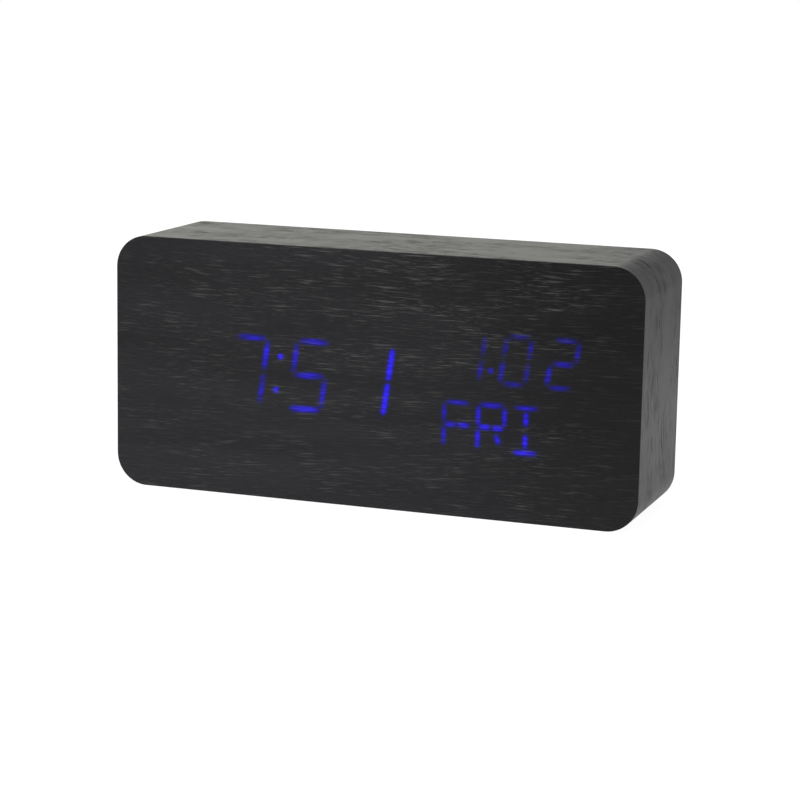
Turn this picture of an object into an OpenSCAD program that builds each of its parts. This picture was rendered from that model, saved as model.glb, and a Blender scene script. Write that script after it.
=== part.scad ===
// Desk clock in a wooden block, with a light display that shines through the veneer.
// X runs to the right seen from the front, Y to the back and Z up.
// The origin is the middle of the base, on the surface that the clock stands on.

/* [Case] */
// Width of the finished block
body_w = 150; // [142:1:180]
// Height of the finished block
body_h = 70; // [66:1:90]
// Depth of the finished block, front to back
body_d = 40; // [38:1:60]
// Corner radius of the block, seen from the front
corner_r = 8.8; // [5:0.2:14]
// Thickness of the wood-grain film
veneer_t = 0.4; // [0.2:0.05:0.8]
// Glue line between the film and the fibreboard
glue_t = 0.05; // [0.02:0.01:0.1]
// Fibreboard left at the front, round the display
front_wall = 4; // [3:0.5:6]
// Corner radius of the pocket that is routed in from the back
pocket_r = 9; // [8:0.5:11]
// Space between the pocket's wall and what goes into it
pocket_clear = 0.35; // [0.2:0.05:0.6]
// Gap where the two ends of the wrap meet under the base
seam_gap = 0.2; // [0.1:0.05:0.4]
// Place of that seam, left of the middle
seam_x = 45; // [30:1:55]

/* [Display] */
// Middle of the time, from the middle of the block
time_x = -26.5; // [-28:0.5:-25]
// Height of the time's middle above the middle of the block
time_z = -0.1; // [-1:0.1:1]
// Height of a time digit
time_h = 20.2; // [17:0.2:22]
// Width of a time digit
time_w = 11; // [10:0.1:13]
// Step from one time digit to the next
time_pitch = 18; // [16:0.1:19]
// Width of a time digit's bars
time_bar = 1.6; // [1.2:0.1:2]
// Middle of the date and of the weekday, from the middle of the block
date_x = 34.4; // [33:0.1:36]
// Height of the date's middle above the middle of the block
date_z = 8.4; // [8:0.1:9]
// Height of a date digit
date_h = 13.9; // [12:0.1:14.5]
// Width of a date digit
date_w = 8.1; // [7.5:0.1:9]
// Step from one date digit to the next
date_pitch = 12.8; // [12:0.1:13.5]
// Width of a date digit's bars
date_bar = 1.2; // [0.9:0.1:1.4]
// Height of the weekday's middle above the middle of the block
day_z = -10; // [-10.5:0.1:-9.5]
// Height of a weekday letter
day_h = 13.2; // [12:0.1:14]
// Width of a weekday letter
day_w = 8.4; // [8:0.1:8.8]
// Step from one weekday letter to the next
day_pitch = 9.5; // [9.2:0.1:10.5]
// Width of a weekday letter's bars
day_bar = 1.1; // [0.8:0.1:1.2]
// Lean of the digits, in degrees
digit_lean = 7.8; // [0:0.2:14]
// Lean of the weekday letters, in degrees
day_lean = 0.4; // [0:0.2:8]
// Diameter of the colon's dots
colon_d = 1.7; // [1.2:0.1:2.2]
// Wall left between neighbouring bars, at their tips
bar_gap = 0.4; // [0.3:0.05:0.5]
// Border of the mask round the digits
mask_margin = 1.5; // [1:0.1:2.5]
// Overhang of the mask's flange at the left and the right
lip_side = 2; // [1:0.1:2.5]
// Overhang of the mask's flange at the top and the bottom, for the screws
lip_top = 5; // [4.5:0.1:5.5]
// Thickness of the mask's flange behind the front wall
flange_t = 4; // [3:0.2:6]
// Corner radius of the flange
flange_r = 6; // [5:0.2:6.5]
// Thickness of the diffuser film
film_t = 0.2; // [0.1:0.05:0.4]
// Height of a light chip
led_h = 0.6; // [0.4:0.05:0.8]
// Side of a light chip
led_s = 0.6; // [0.4:0.05:0.7]
// Thickness of the circuit boards
board_t = 1.6; // [1:0.1:2]

/* [Rear panel] */
// Depth of the panel's face below the back of the block
panel_recess = 0.6; // [0.55:0.05:1]
// Thickness of the panel
panel_t = 2.4; // [2.2:0.1:3.2]
// Ledge of fibreboard that carries the panel's edge
ledge_w = 3.5; // [3:0.1:4]
// Gap round the panel
panel_gap = 0.25; // [0.15:0.05:0.4]
// Corner radius of the panel
panel_r = 6; // [4:0.5:8]
// Distance of the panel's screws from its edges
screw_inset = 4; // [3.8:0.1:4.3]
// Wall of the battery tub outside the door's recess
tub_skin = 0.6; // [0.5:0.1:1]
// Floor of the battery tub
tub_floor = 1.6; // [1.4:0.1:2]
// Space between the tub and the pocket's right wall
bay_side_gap = 11.5; // [8:0.5:12]

/* [Battery door] */
// Thickness of the door, which is also the diameter of its rounded hinge edge
door_t = 2.2; // [1.8:0.1:2.8]
// Width of the ledge that the door closes on
door_ledge = 1.5; // [1.2:0.1:1.8]
// Gap round the door
door_clear = 0.25; // [0.2:0.05:0.4]
// Radius of the two hinge pins
hinge_pin_r = 0.6; // [0.5:0.05:0.7]
// Length of a hinge pin
hinge_pin_l = 1.5; // [1:0.1:2]
// Running clearance of a hinge pin in its socket
hinge_clear = 0.08; // [0.05:0.01:0.1]
// Width of the latch nose
nose_w = 9; // [6:0.5:14]
// Reach of the latch nose past the door's edge
nose_l = 1; // [0.6:0.1:1.4]
// Depth of the thumb dip
thumb_depth = 0.9; // [0.5:0.1:1.2]
// Number of grip grooves
groove_n = 5; // [3:1:6]

/* [Battery bay] */
// Diameter of an AAA cell
cell_d = 10.5; // [10:0.1:10.7]
// Length of an AAA cell with its cap
cell_l = 44.5; // [43:0.1:45.5]
// Step from one cell to the next
cell_pitch = 10.9; // [10.8:0.1:11.3]
// Space round a cell
cell_gap = 0.25; // [0.2:0.05:0.35]
// Thickness of the contact plates
plate_t = 0.3; // [0.2:0.05:0.5]
// Height of a positive contact's pip
pip_h = 0.8; // [0.5:0.1:1.2]
// Length of a contact spring between its plate and the cell
spring_l = 5.5; // [5:0.1:6.5]
// Wire diameter of a contact spring
spring_wire = 0.7; // [0.5:0.05:0.8]
// Turns of a contact spring
spring_turns = 3; // [2:1:3]

/* [Controls] */
// Length of a button
button_l = 9.5; // [8:0.5:10]
// Width of a button
button_w = 5.5; // [5:0.1:6.5]
// How far a button stands out of the panel
button_proud = 0.5; // [0.45:0.05:0.55]
// Gap round a button
button_clear = 0.2; // [0.15:0.05:0.3]
// Rim that keeps a button behind the panel
button_rim = 0.9; // [0.6:0.1:1]
// Thickness of that rim
button_rim_t = 1; // [0.8:0.1:1.4]
// Step from one button to the next
button_pitch = 13; // [12.8:0.1:13.4]
// Travel of a button
button_travel = 0.5; // [0.3:0.05:0.5]
// Side of a switch under a button
switch_s = 6; // [5:0.1:6.5]
// Height of a switch's body
switch_h = 3.5; // [3.3:0.1:4.5]
// Radius of a switch's plunger
plunger_r = 1.75; // [1.2:0.05:2]
// How far a plunger stands out of its switch
plunger_h = 1; // [0.8:0.1:1.5]
// Width of the control board
control_w = 50; // [49:0.5:54]
// Height of the control board
control_h = 44; // [43:0.5:47]
// Gap between the control board and the battery tub, for the leads
lead_room = 6; // [5:0.5:7]

/* [Hidden] */
$fn = 48;
// Overlap that lets a cut run past a face, or a boss into its wall
past = 0.5;

// Layers at the front, from the veneer inwards
front_y = -body_d / 2;
core_front = front_y + veneer_t + glue_t;
pocket_floor = core_front + front_wall;
film_back = core_front + film_t;
mask_back = pocket_floor + flange_t;
board_back = mask_back + board_t;

// Layers at the back, from the veneer inwards
back_y = body_d / 2;
core_back = back_y - veneer_t - glue_t;
panel_face = back_y - panel_recess;
panel_inner = panel_face - panel_t;
seat_gap = 0.05;
door_inner = panel_face - door_t;
door_seat = door_inner - seat_gap;
cell_y = door_seat - cell_gap - cell_d / 2;
bay_floor = cell_y - cell_d / 2 - cell_gap;
contact_sump = 0.2;
sump_floor = bay_floor - contact_sump;
tub_bottom = sump_floor - tub_floor;
button_gap = 0.05;
rim_outer = panel_inner - button_gap;
rim_inner = rim_outer - button_rim_t;
switch_top = rim_inner - plunger_h;
control_rear = switch_top - switch_h;
control_front = control_rear - board_t;

// Extents of the display's windows, and the mask and pocket round them
time_half = time_pitch / 2;
date_half = date_pitch / 2;
time_places = [for (k = [-1, 1]) each [k * (time_half + time_pitch), k * time_half]];
date_places = [for (k = [-1, 1]) each [k * (date_half + date_pitch), k * date_half]];
day_places = [-day_pitch, 0, day_pitch];
digits_left = time_x - time_half - time_pitch - time_w / 2 - tan(digit_lean) * time_h / 2;
digits_right = date_x + date_half + date_pitch + date_w / 2 + tan(digit_lean) * date_h / 2;
digits_top = max(time_z + time_h / 2, date_z + date_h / 2);
digits_bottom = min(time_z - time_h / 2, day_z - day_h / 2);
mask_x = (digits_left + digits_right) / 2;
mask_z = (digits_top + digits_bottom) / 2;
mask_w = digits_right - digits_left + 2 * mask_margin;
mask_h = digits_top - digits_bottom + 2 * mask_margin;
mask_r = 1.5;
mask_clear = 0.2;
flange_w = mask_w + 2 * lip_side;
flange_h = mask_h + 2 * lip_top;
display_screw_x = 42;
display_screw_z = (mask_h + lip_top) / 2;
// Fibreboard left in front of a blind screw hole, and the hole's depth past the screw's tip
blind_wall = 0.8;
blind_gap = 0.4;
driver_at = [30, 0];
driver_l = 15.4;
driver_pins = 12;
day_slash = 0.9;

// Battery bay and door, about the bay's middle
cell_n = 4;
bay_step = 0.1;
bay_l = cell_l + spring_l + pip_h + 2 * plate_t;
bay_h = (cell_n - 1) * cell_pitch + cell_d + 2 * cell_gap + 2 * bay_step;
end_room = 4;
door_w = bay_l + 2 * door_ledge;
door_h = bay_h + 2 * door_ledge;
door_r = 1.5;
tub_wall = door_ledge + door_clear + tub_skin;
tub_w = bay_l + 2 * tub_wall;
tub_h = bay_h + 2 * tub_wall;
tub_r = 2;
hinge_y = panel_face - door_t / 2;
hinge_z = -door_h / 2 + door_t / 2;
nose_t = 1.2;
pip_r = 2.2;
pip_tip_r = 1.3;

// Pocket and panel round what goes in
pocket_spare = 2;
pocket_w = flange_w + 2 * (abs(mask_x) + pocket_clear);
pocket_h = max(tub_h, control_h, flange_h + 2 * abs(mask_z)) + 2 * pocket_clear + pocket_spare;
panel_w = pocket_w + 2 * ledge_w;
panel_h = pocket_h + 2 * ledge_w;
rebate_w = panel_w + 2 * panel_gap;
rebate_h = panel_h + 2 * panel_gap;
rebate_r = panel_r + panel_gap;
bay_x = pocket_w / 2 - bay_side_gap - tub_w / 2;
bay_left = bay_x - bay_l / 2;
bay_right = bay_x + bay_l / 2;
control_x = bay_x - tub_w / 2 - lead_room - control_w / 2;

// Fasteners
screw_r = 1.25;
screw_head_r = 2.5;
screw_head_h = 1.6;
screw_l = 10;
small_screw_r = 0.9;
small_head_r = 1.7;
small_head_h = 1.2;
screw_clear = 0.05;
hole_clear = 0.15;
cross_w = 0.5;
boss_r = 2.4;
boss_inset = 4;
boss_screw_l = 5;
boss_hole_end = control_front + boss_screw_l + blind_gap;

// Places on the control board, from its middle
button_z = 11.5;
port_at = [-14.5, -11];
buzzer_at = [1, -11];
mic_at = [15.5, -3.5];
sensor_at = [14, -14.5];
chip_at = [-4, 5];
crystal_at = [-17, 3];
capacitors_at = [[-16, -8], [-9, -8]];
ribbon_at = 13;
button_r = 2.4;

// Parts on the boards
chip_w = 7.5;
chip_h = 2.3;
control_chip_l = 12.8;
control_chip_pins = 10;
port_w = 7.5;
port_h = 2.5;
port_wall = 0.3;
port_chamfer = 0.7;
port_inner_chamfer = 0.6;
port_reach = 1.5;
plug_room = 1.6;
buzzer_r = 6;
buzzer_gap = 0.5;
buzzer_h = panel_inner - control_rear - buzzer_gap;
sound_hole_r = 0.65;
sound_ring = 2.2;
mic_r = 3;
mic_gap = 1;
mic_h = panel_inner - control_rear - mic_gap;
bead_r = 1.3;
vent_w = 1;
vent_l = 5;
vent_pitch = 2.2;
lead_r = 0.6;
lead_bend = 2;
lead_inset = 2.5;
tag_w = 2.4;
tag_l = 2.5;
tag_drop = 3;
ribbon_w = 10;
ribbon_t = 0.9;
ribbon_bend = 3;
ribbon_drop = 9;
ribbon_grip = 2.5;
ribbon_fit = 0.1;
socket_wall = 1.2;
socket_h = 5;
ribbon_x = control_x + ribbon_at;
ribbon_z = -6;

// Outlines and directions

// A rectangle with round corners, about the origin
module rounded_rect(w, h, r) {
    square([w - 2 * r, h], center = true);
    square([w, h - 2 * r], center = true);
    for (sx = [-1, 1], sz = [-1, 1])
        translate([sx * (w / 2 - r), sz * (h / 2 - r)]) circle(r);
}

// A plate from depth y0 to depth y1, whose outline is drawn in X and Z
module slab(y0, y1) {
    translate([0, y1, 0]) rotate([90, 0, 0]) linear_extrude(y1 - y0) children();
}

// A bar from x0 to x1, whose section is drawn in Y and Z
module along_x(x0, x1) {
    translate([x0, 0, 0]) rotate([90, 0, 90]) linear_extrude(x1 - x0) children();
}

// A round bar along the depth
module rod(r, y0, y1) {
    translate([0, y1, 0]) rotate([90, 0, 0]) cylinder(r = r, h = y1 - y0);
}

// A round bar along the width
module cross_rod(r, x0, x1) {
    translate([x0, 0, 0]) rotate([0, 90, 0]) cylinder(r = r, h = x1 - x0);
}

// A turned piece whose axis runs along the depth and whose profile starts at depth y0
module turned(y0) {
    translate([0, y0, 0]) rotate([-90, 0, 0]) rotate_extrude() children();
}

// From the middle of the block to the place of the origin at its base
module lift() {
    translate([0, 0, body_h / 2]) children();
}

module at(x, z) {
    translate([x, 0, z]) children();
}

// The four corners of a rectangle
module at_corners(x, z) {
    for (sx = [-1, 1], sz = [-1, 1]) at(sx * x, sz * z) children();
}

// Tube swept along a list of points, as one closed mesh

function unit(v) = v / norm(v);

function tangents(p) = let (last = len(p) - 1)
    [for (i = [0 : last]) unit(p[min(i + 1, last)] - p[max(i - 1, 0)])];

// A normal carried from point to point, kept square to the path
function normals(t, first) =
    [for (i = 0, n = unit(first - (first * t[0]) * t[0]);
          i < len(t);
          i = i + 1, n = i < len(t) ? unit(n - (n * t[i]) * t[i]) : n) n];

module tube(p, r, sides, first) {
    t = tangents(p);
    n = normals(t, first);
    last = len(p) - 1;
    points = [for (i = [0 : last], k = [0 : sides - 1])
        let (a = 360 * k / sides) p[i] + r * (cos(a) * n[i] + sin(a) * cross(t[i], n[i]))];
    sides_faces = [for (i = [0 : last - 1], k = [0 : sides - 1])
        let (a = i * sides + k, b = i * sides + (k + 1) % sides)
        each [[a, a + sides, b + sides], [a, b + sides, b]]];
    start_faces = [for (k = [1 : sides - 2]) [0, k, k + 1]];
    end = last * sides;
    end_faces = [for (k = [1 : sides - 2]) [end, end + k + 1, end + k]];
    polyhedron(points, concat(sides_faces, start_faces, end_faces));
}

// A square-cornered route with each corner turned by an arc
function rounded_route(p, r, steps) = let (last = len(p) - 1) [
    for (i = [0 : last])
        if (i == 0 || i == last) p[i]
        else let (u = unit(p[i] - p[i - 1]), v = unit(p[i + 1] - p[i]), c = p[i] + r * (v - u))
            for (k = [0 : steps]) let (a = 90 * k / steps) c + r * (sin(a) * u - cos(a) * v)
];

// Light bars of the display, as outlines in X and Z

// A bar with pointed ends
function bar(c, l, t, upright) = let (
    tip = l / 2,
    side = tip - t / 2,
    flat = [[-tip, 0], [-side, t / 2], [side, t / 2], [tip, 0], [side, -t / 2], [-side, -t / 2]]
) [for (p = flat) c + (upright ? [-p[1], p[0]] : p)];

// A slanting bar that fills a cell from corner to corner
function slash(x0, x1, y0, y1, t, rising) = let (
    half = [[x0, y0], [x0 + t, y0], [x1, y1], [x1 - t, y1]]
) [for (p = half) rising ? p : [x0 + x1 - p[0], p[1]]];

// The seven bars of a digit
function seven_bars(w, h, t) = let (
    x = (w - t) / 2,
    y = (h - t) / 2
) concat(
    [for (s = [-1, 0, 1]) bar([0, s * y], 2 * (x - bar_gap), t, false)],
    [for (sx = [-1, 1], sy = [-1, 1]) bar([sx * x, sy * y / 2], y - 2 * bar_gap, t, true)]
);

// The fourteen bars of a letter; the two middle uprights stop short of the half bars beside them
function fourteen_bars(w, h, t) = let (
    x = (w - t) / 2,
    y = (h - t) / 2,
    inset = t / 2 + bar_gap
) concat(
    [for (s = [-1, 1]) bar([0, s * y], 2 * (x - bar_gap), t, false)],
    [for (s = [-1, 1]) bar([s * x / 2, 0], x - 2 * bar_gap, t, false)],
    [for (sx = [-1, 1], sy = [-1, 1]) bar([sx * x, sy * y / 2], y - 2 * bar_gap, t, true)],
    [for (s = [-1, 1]) bar([0, s * y / 2], y - 2 * inset, t, true)],
    [for (sx = [-1, 1], sy = [-1, 1]) slash(
        min(sx * inset, sx * (x - inset)), max(sx * inset, sx * (x - inset)),
        min(sy * inset, sy * (y - inset)), max(sy * inset, sy * (y - inset)),
        day_slash, sx * sy > 0)]
);

// A character's bars, leaning and moved to their place
function placed(bars, x, z, lean) =
    [for (b = bars) [for (p = b) [x + p[0] + p[1] * tan(lean), z + p[1]]]];

function row(places, bars, x, z, lean) =
    [for (dx = places) each placed(bars, x + dx, z, lean)];

display_bars = concat(
    row(time_places, seven_bars(time_w, time_h, time_bar), time_x, time_z, digit_lean),
    row(date_places, seven_bars(date_w, date_h, date_bar), date_x, date_z, digit_lean),
    row(day_places, fourteen_bars(day_w, day_h, day_bar), date_x, day_z, day_lean)
);

// The colon's two dots and the date's one, each with its radius
colon_rise = (time_h - time_bar) / 4;
date_drop = (date_h - date_bar) / 4;
display_dots = [
    for (s = [-1, 1]) [time_x + s * colon_rise * tan(digit_lean), time_z + s * colon_rise, colon_d / 2],
    [date_x - date_drop * tan(digit_lean), date_z - date_drop, colon_d / 2]
];

function middle(points) = [for (k = [0, 1]) let (v = [for (p = points) p[k]]) (min(v) + max(v)) / 2];

// Case

module block_outline(inset) {
    rounded_rect(body_w - 2 * inset, body_h - 2 * inset, corner_r - inset);
}

module at_display_screws() {
    at(mask_x, mask_z) at_corners(display_screw_x, display_screw_z) children();
}

module at_panel_screws() {
    at_corners(panel_w / 2 - screw_inset, panel_h / 2 - screw_inset) children();
}

module case_core() {
    color("#5b4a3c") lift() difference() {
        slab(core_front, core_back) block_outline(veneer_t + glue_t);
        slab(core_front - past, pocket_floor + past) translate([mask_x, mask_z])
            rounded_rect(mask_w + 2 * mask_clear, mask_h + 2 * mask_clear, mask_r + mask_clear);
        slab(pocket_floor, core_back + past) rounded_rect(pocket_w, pocket_h, pocket_r);
        slab(panel_inner, core_back + past) rounded_rect(rebate_w, rebate_h, rebate_r);
        at_panel_screws() rod(screw_r + screw_clear, panel_inner - screw_l, panel_inner + past);
        at_display_screws()
            rod(small_screw_r + screw_clear, core_front + blind_wall, pocket_floor + past);
    }
}

module wrap_veneer() {
    color("#2b2b2d") lift() difference() {
        slab(front_y + veneer_t, back_y - veneer_t) difference() {
            block_outline(0);
            block_outline(veneer_t);
        }
        translate([-seam_x - seam_gap / 2, front_y, -body_h / 2 - past])
            cube([seam_gap, body_d, veneer_t + 2 * past]);
    }
}

module front_veneer() {
    color("#2e2e30") lift() slab(front_y, front_y + veneer_t) block_outline(0);
}

module back_veneer() {
    color("#2b2b2d") lift() slab(back_y - veneer_t, back_y) difference() {
        block_outline(0);
        rounded_rect(rebate_w, rebate_h, rebate_r);
    }
}

// Display

module diffuser_film() {
    color("#e8e8ee") lift() slab(core_front, film_back)
        translate([mask_x, mask_z]) rounded_rect(mask_w, mask_h, mask_r);
}

module segment_mask() {
    color("#f2f2f0") lift() difference() {
        union() {
            slab(film_back, mask_back)
                translate([mask_x, mask_z]) rounded_rect(mask_w, mask_h, mask_r);
            slab(pocket_floor, mask_back)
                translate([mask_x, mask_z]) rounded_rect(flange_w, flange_h, flange_r);
        }
        slab(film_back - past, mask_back + past) {
            for (b = display_bars) polygon(b);
            for (d = display_dots) translate([d[0], d[1]]) circle(d[2]);
        }
        at_display_screws() rod(small_screw_r + hole_clear, pocket_floor - past, mask_back + past);
    }
}

module display_leds() {
    centres = concat([for (b = display_bars) middle(b)], [for (d = display_dots) [d[0], d[1]]]);
    color("#3a3cff") lift() slab(mask_back - led_h, mask_back)
        for (c = centres) translate(c) square(led_s, center = true);
}

module display_board() {
    color("#1f5d3a") lift() difference() {
        slab(mask_back, board_back) translate([mask_x, mask_z])
            rounded_rect(flange_w, flange_h, flange_r);
        at_display_screws() rod(small_screw_r + hole_clear, mask_back - past, board_back + past);
    }
}

// A pan-head screw: its head stands from y0 backwards, and its shank runs forwards
module pan_screw(y0, shank_l) {
    difference() {
        turned(y0 - shank_l) polygon([
            [0, 0], [small_screw_r * 0.4, 0], [small_screw_r, small_screw_r], [small_screw_r, shank_l],
            [small_head_r, shank_l], [small_head_r, shank_l + small_head_h * 0.6],
            [small_head_r * 0.6, shank_l + small_head_h], [0, shank_l + small_head_h]
        ]);
        cross_recess(y0 + small_head_h, small_head_r, small_head_h * 0.5);
    }
}

module cross_recess(y_top, r, depth) {
    for (a = [0, 90]) rotate([0, a, 0])
        translate([-r * 0.6, y_top - depth, -cross_w / 2]) cube([r * 1.2, depth + past, cross_w]);
}

module display_screws() {
    color("#b9bcc0") lift() at_display_screws()
        pan_screw(board_back, board_t + flange_t + front_wall - blind_wall - blind_gap);
}

// A strip on each side of a chip, from just inside its edge
module sides(edge, l, w) {
    bite = 0.05;
    for (s = [-1, 1]) translate([0, s * (edge + (l - bite) / 2)]) square([w, l + bite], center = true);
}

// A small-outline chip whose feet stand at y0 and which rises to the side of dir
module chip(y0, dir, l, pins) {
    standoff = 0.1;
    lead_w = 0.45;
    foot_t = 0.25;
    foot_l = 1.4;
    riser_l = 0.5;
    step = l / pins;
    y = function (a, b) dir > 0 ? [y0 + a, y0 + b] : [y0 - b, y0 - a];
    body = y(standoff, chip_h);
    foot = y(0, foot_t);
    riser = y(0, chip_h / 2);
    slab(body[0], body[1]) square([l, chip_w], center = true);
    for (i = [0 : pins - 1]) at((i - (pins - 1) / 2) * step, 0) {
        slab(foot[0], foot[1]) sides(chip_w / 2, foot_l, lead_w);
        slab(riser[0], riser[1]) sides(chip_w / 2, riser_l, lead_w);
    }
}

module driver_chip() {
    color("#1c1c1e") lift() at(driver_at[0], driver_at[1]) chip(board_back, 1, driver_l, driver_pins);
}

// Ribbon between the boards

// A box socket for the ribbon, from y0 to y1, with its mouth at the end mouth
module ribbon_socket(y0, y1, mouth) {
    deep = ribbon_grip + 2 * ribbon_fit;
    slot_y = mouth > 0 ? [y1 - deep, y1 + past] : [y0 - past, y0 + deep];
    difference() {
        slab(y0, y1) square([ribbon_w + 2 * socket_wall, ribbon_t + 2 * socket_wall], center = true);
        slab(slot_y[0], slot_y[1])
            square([ribbon_w + 2 * ribbon_fit, ribbon_t + ribbon_fit], center = true);
    }
}

module display_connector() {
    color("#e9e4d4") lift() at(ribbon_x, ribbon_z)
        ribbon_socket(board_back, board_back + socket_h, 1);
}

module control_connector() {
    color("#e9e4d4") lift() at(ribbon_x, ribbon_z + ribbon_drop)
        ribbon_socket(control_front - socket_h, control_front, -1);
}

// The ribbon leaves one socket, turns up, and turns back into the other
module ribbon_cable() {
    y0 = board_back + socket_h;
    y1 = control_front - socket_h;
    bend = min(ribbon_bend, (y1 - y0) / 2, ribbon_drop / 2);
    mid = (y0 + y1) / 2;
    half = ribbon_t / 2;
    color("#8a8d92") lift() at(ribbon_x, ribbon_z) along_x(-ribbon_w / 2, ribbon_w / 2) {
        translate([y0 - ribbon_grip, -half]) square([mid - bend - y0 + ribbon_grip, ribbon_t]);
        translate([mid - bend, bend]) intersection() {
            ring(bend - half, bend + half);
            translate([0, -bend - ribbon_t]) square(bend + ribbon_t);
        }
        translate([mid - half, bend]) square([ribbon_t, ribbon_drop - 2 * bend]);
        translate([mid + bend, ribbon_drop - bend]) intersection() {
            ring(bend - half, bend + half);
            translate([-bend - ribbon_t, 0]) square(bend + ribbon_t);
        }
        translate([mid + bend, ribbon_drop - half]) square([y1 + ribbon_grip - mid - bend, ribbon_t]);
    }
}

module ring(r0, r1) {
    difference() {
        circle(r1);
        circle(r0);
    }
}

// Rear panel

module at_control() {
    at(control_x, 0) children();
}

module at_buttons() {
    at_control() for (k = [-1, 0, 1]) at(k * button_pitch, button_z) children();
}

module at_bosses() {
    at_control() at_corners(control_w / 2 - boss_inset, control_h / 2 - boss_inset) children();
}

// Height of a cell's middle above the middle of the bay
function cell_z(i) = ((cell_n - 1) / 2 - i) * cell_pitch;

module bay_space() {
    r = cell_d / 2 + cell_gap;
    at(bay_x, 0) slab(cell_y, door_seat + past) square([bay_l, bay_h], center = true);
    trough_l = bay_l - end_room;
    for (i = [0 : cell_n - 1])
        translate([bay_x, cell_y, cell_z(i)]) cross_rod(r, -trough_l / 2, trough_l / 2);
    for (s = [-1, 1]) at(bay_x + s * (bay_l - end_room) / 2, 0)
        slab(sump_floor, cell_y + past) square([end_room, bay_h], center = true);
}

module rear_panel() {
    color("#1d1d1f") lift() difference() {
        union() {
            slab(panel_inner, panel_face) rounded_rect(panel_w, panel_h, panel_r);
            at(bay_x, 0) slab(tub_bottom, panel_inner + past) rounded_rect(tub_w, tub_h, tub_r);
            at_bosses() rod(boss_r, control_rear, panel_inner + past);
        }
        bay_space();
        door_recess();
        tag_slots();
        control_openings();
        at_bosses() rod(small_screw_r + screw_clear, control_rear - past, boss_hole_end);
        at_panel_screws() screw_seat();
    }
}

// The door's outline with a border of gap: rounded corners at the latch, square ones at the hinge
module door_outline(gap) {
    w = door_w + 2 * gap;
    h = door_h + 2 * gap;
    rounded_rect(w, h, door_r + gap);
    translate([-w / 2, -h / 2]) square([w, h / 2]);
}

module door_recess() {
    at(bay_x, 0) {
        slab(door_seat, panel_face + past) door_outline(door_clear);
        translate([0, hinge_y, hinge_z]) for (s = [0, 180]) rotate([0, s, 0])
            cross_rod(hinge_pin_r + hinge_clear, door_w / 2, door_w / 2 + hinge_pin_l + door_clear);
        slab(door_seat, panel_face + past) translate([0, door_h / 2 + (nose_l + door_clear) / 2])
            square([nose_w + 2 * door_clear, nose_l + door_clear + 0.2], center = true);
    }
}

module tag_slots() {
    for (i = [0, cell_n - 1]) at(bay_left + plate_t / 2, cell_z(i))
        slab(tub_bottom - past, sump_floor + past) square([plate_t + 0.2, tag_w + 0.3], center = true);
}

module control_openings() {
    at_buttons() slab(panel_inner - past, panel_face + past)
        rounded_rect(button_l + 2 * button_clear, button_w + 2 * button_clear, button_r + button_clear);
    at_control() {
        at(port_at[0], port_at[1]) slab(panel_inner - past, panel_face + past)
            rounded_rect(port_w + 2 * plug_room, port_h + 2 * plug_room, plug_room);
        at(buzzer_at[0], buzzer_at[1]) {
            rod(sound_hole_r, panel_inner - past, panel_face + past);
            for (a = [0 : 60 : 300], ring_r = [sound_ring, 2 * sound_ring]) rotate([0, a, 0])
                at(ring_r, 0) rod(sound_hole_r, panel_inner - past, panel_face + past);
        }
        at(mic_at[0], mic_at[1]) rod(sound_hole_r * 1.3, panel_inner - past, panel_face + past);
        for (k = [-1, 0, 1]) at(sensor_at[0] + k * vent_pitch, sensor_at[1])
            slab(panel_inner - past, panel_face + past) rounded_rect(vent_w, vent_l, vent_w * 0.45);
    }
}

// Countersunk seat and hole of a panel screw
module screw_seat() {
    r = screw_r + hole_clear;
    rod(r, panel_inner - past, panel_face + past);
    rim = screw_head_r + hole_clear;
    top = screw_head_h + past;
    turned(panel_face - screw_head_h)
        polygon([[0, 0], [r, 0], [rim, screw_head_h], [rim, top], [0, top]]);
}

module panel_screws() {
    color("#3a3b3e") lift() at_panel_screws() difference() {
        turned(panel_face - screw_l) polygon([
            [0, 0], [screw_r * 0.3, 0], [screw_r, screw_r * 1.5], [screw_r, screw_l - screw_head_h],
            [screw_head_r, screw_l - 0.1], [screw_head_r, screw_l], [0, screw_l]
        ]);
        cross_recess(panel_face, screw_head_r, screw_head_h * 0.7);
    }
}

// Battery door

module battery_door() {
    groove_w = 0.8;
    groove_step = 2.2;
    groove_depth = 0.4;
    groove_l = 18;
    groove_start = 7;
    thumb_r = 8;
    thumb_l = 16;
    thumb_inset = 6.5;
    thumb_z = door_h / 2 - thumb_inset;
    color("#1b1b1d") lift() at(bay_x, 0) difference() {
        union() {
            intersection() {
                along_x(-door_w / 2, door_w / 2) {
                    translate([hinge_y, hinge_z]) circle(door_t / 2);
                    translate([door_inner, hinge_z]) square([door_t, door_h - door_t / 2]);
                }
                slab(door_inner - past, panel_face + past) door_outline(0);
            }
            translate([0, hinge_y, hinge_z]) for (s = [0, 180]) rotate([0, s, 0])
                cross_rod(hinge_pin_r, door_w / 2 - past, door_w / 2 + hinge_pin_l);
            slab(door_inner, door_inner + nose_t) translate([0, door_h / 2 + nose_l / 2 - past / 2])
                square([nose_w, nose_l + past], center = true);
        }
        translate([0, panel_face + thumb_r - thumb_depth, thumb_z])
            cross_rod(thumb_r, -thumb_l / 2, thumb_l / 2);
        for (k = [0 : groove_n - 1]) at(0, thumb_z - groove_start - k * groove_step)
            slab(panel_face - groove_depth, panel_face + past)
                square([groove_l, groove_w], center = true);
    }
}

// Cells and contacts

// Odd cells point right and even cells left, so that they join in a row
function points_right(i) = i % 2 == 1;

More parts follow.
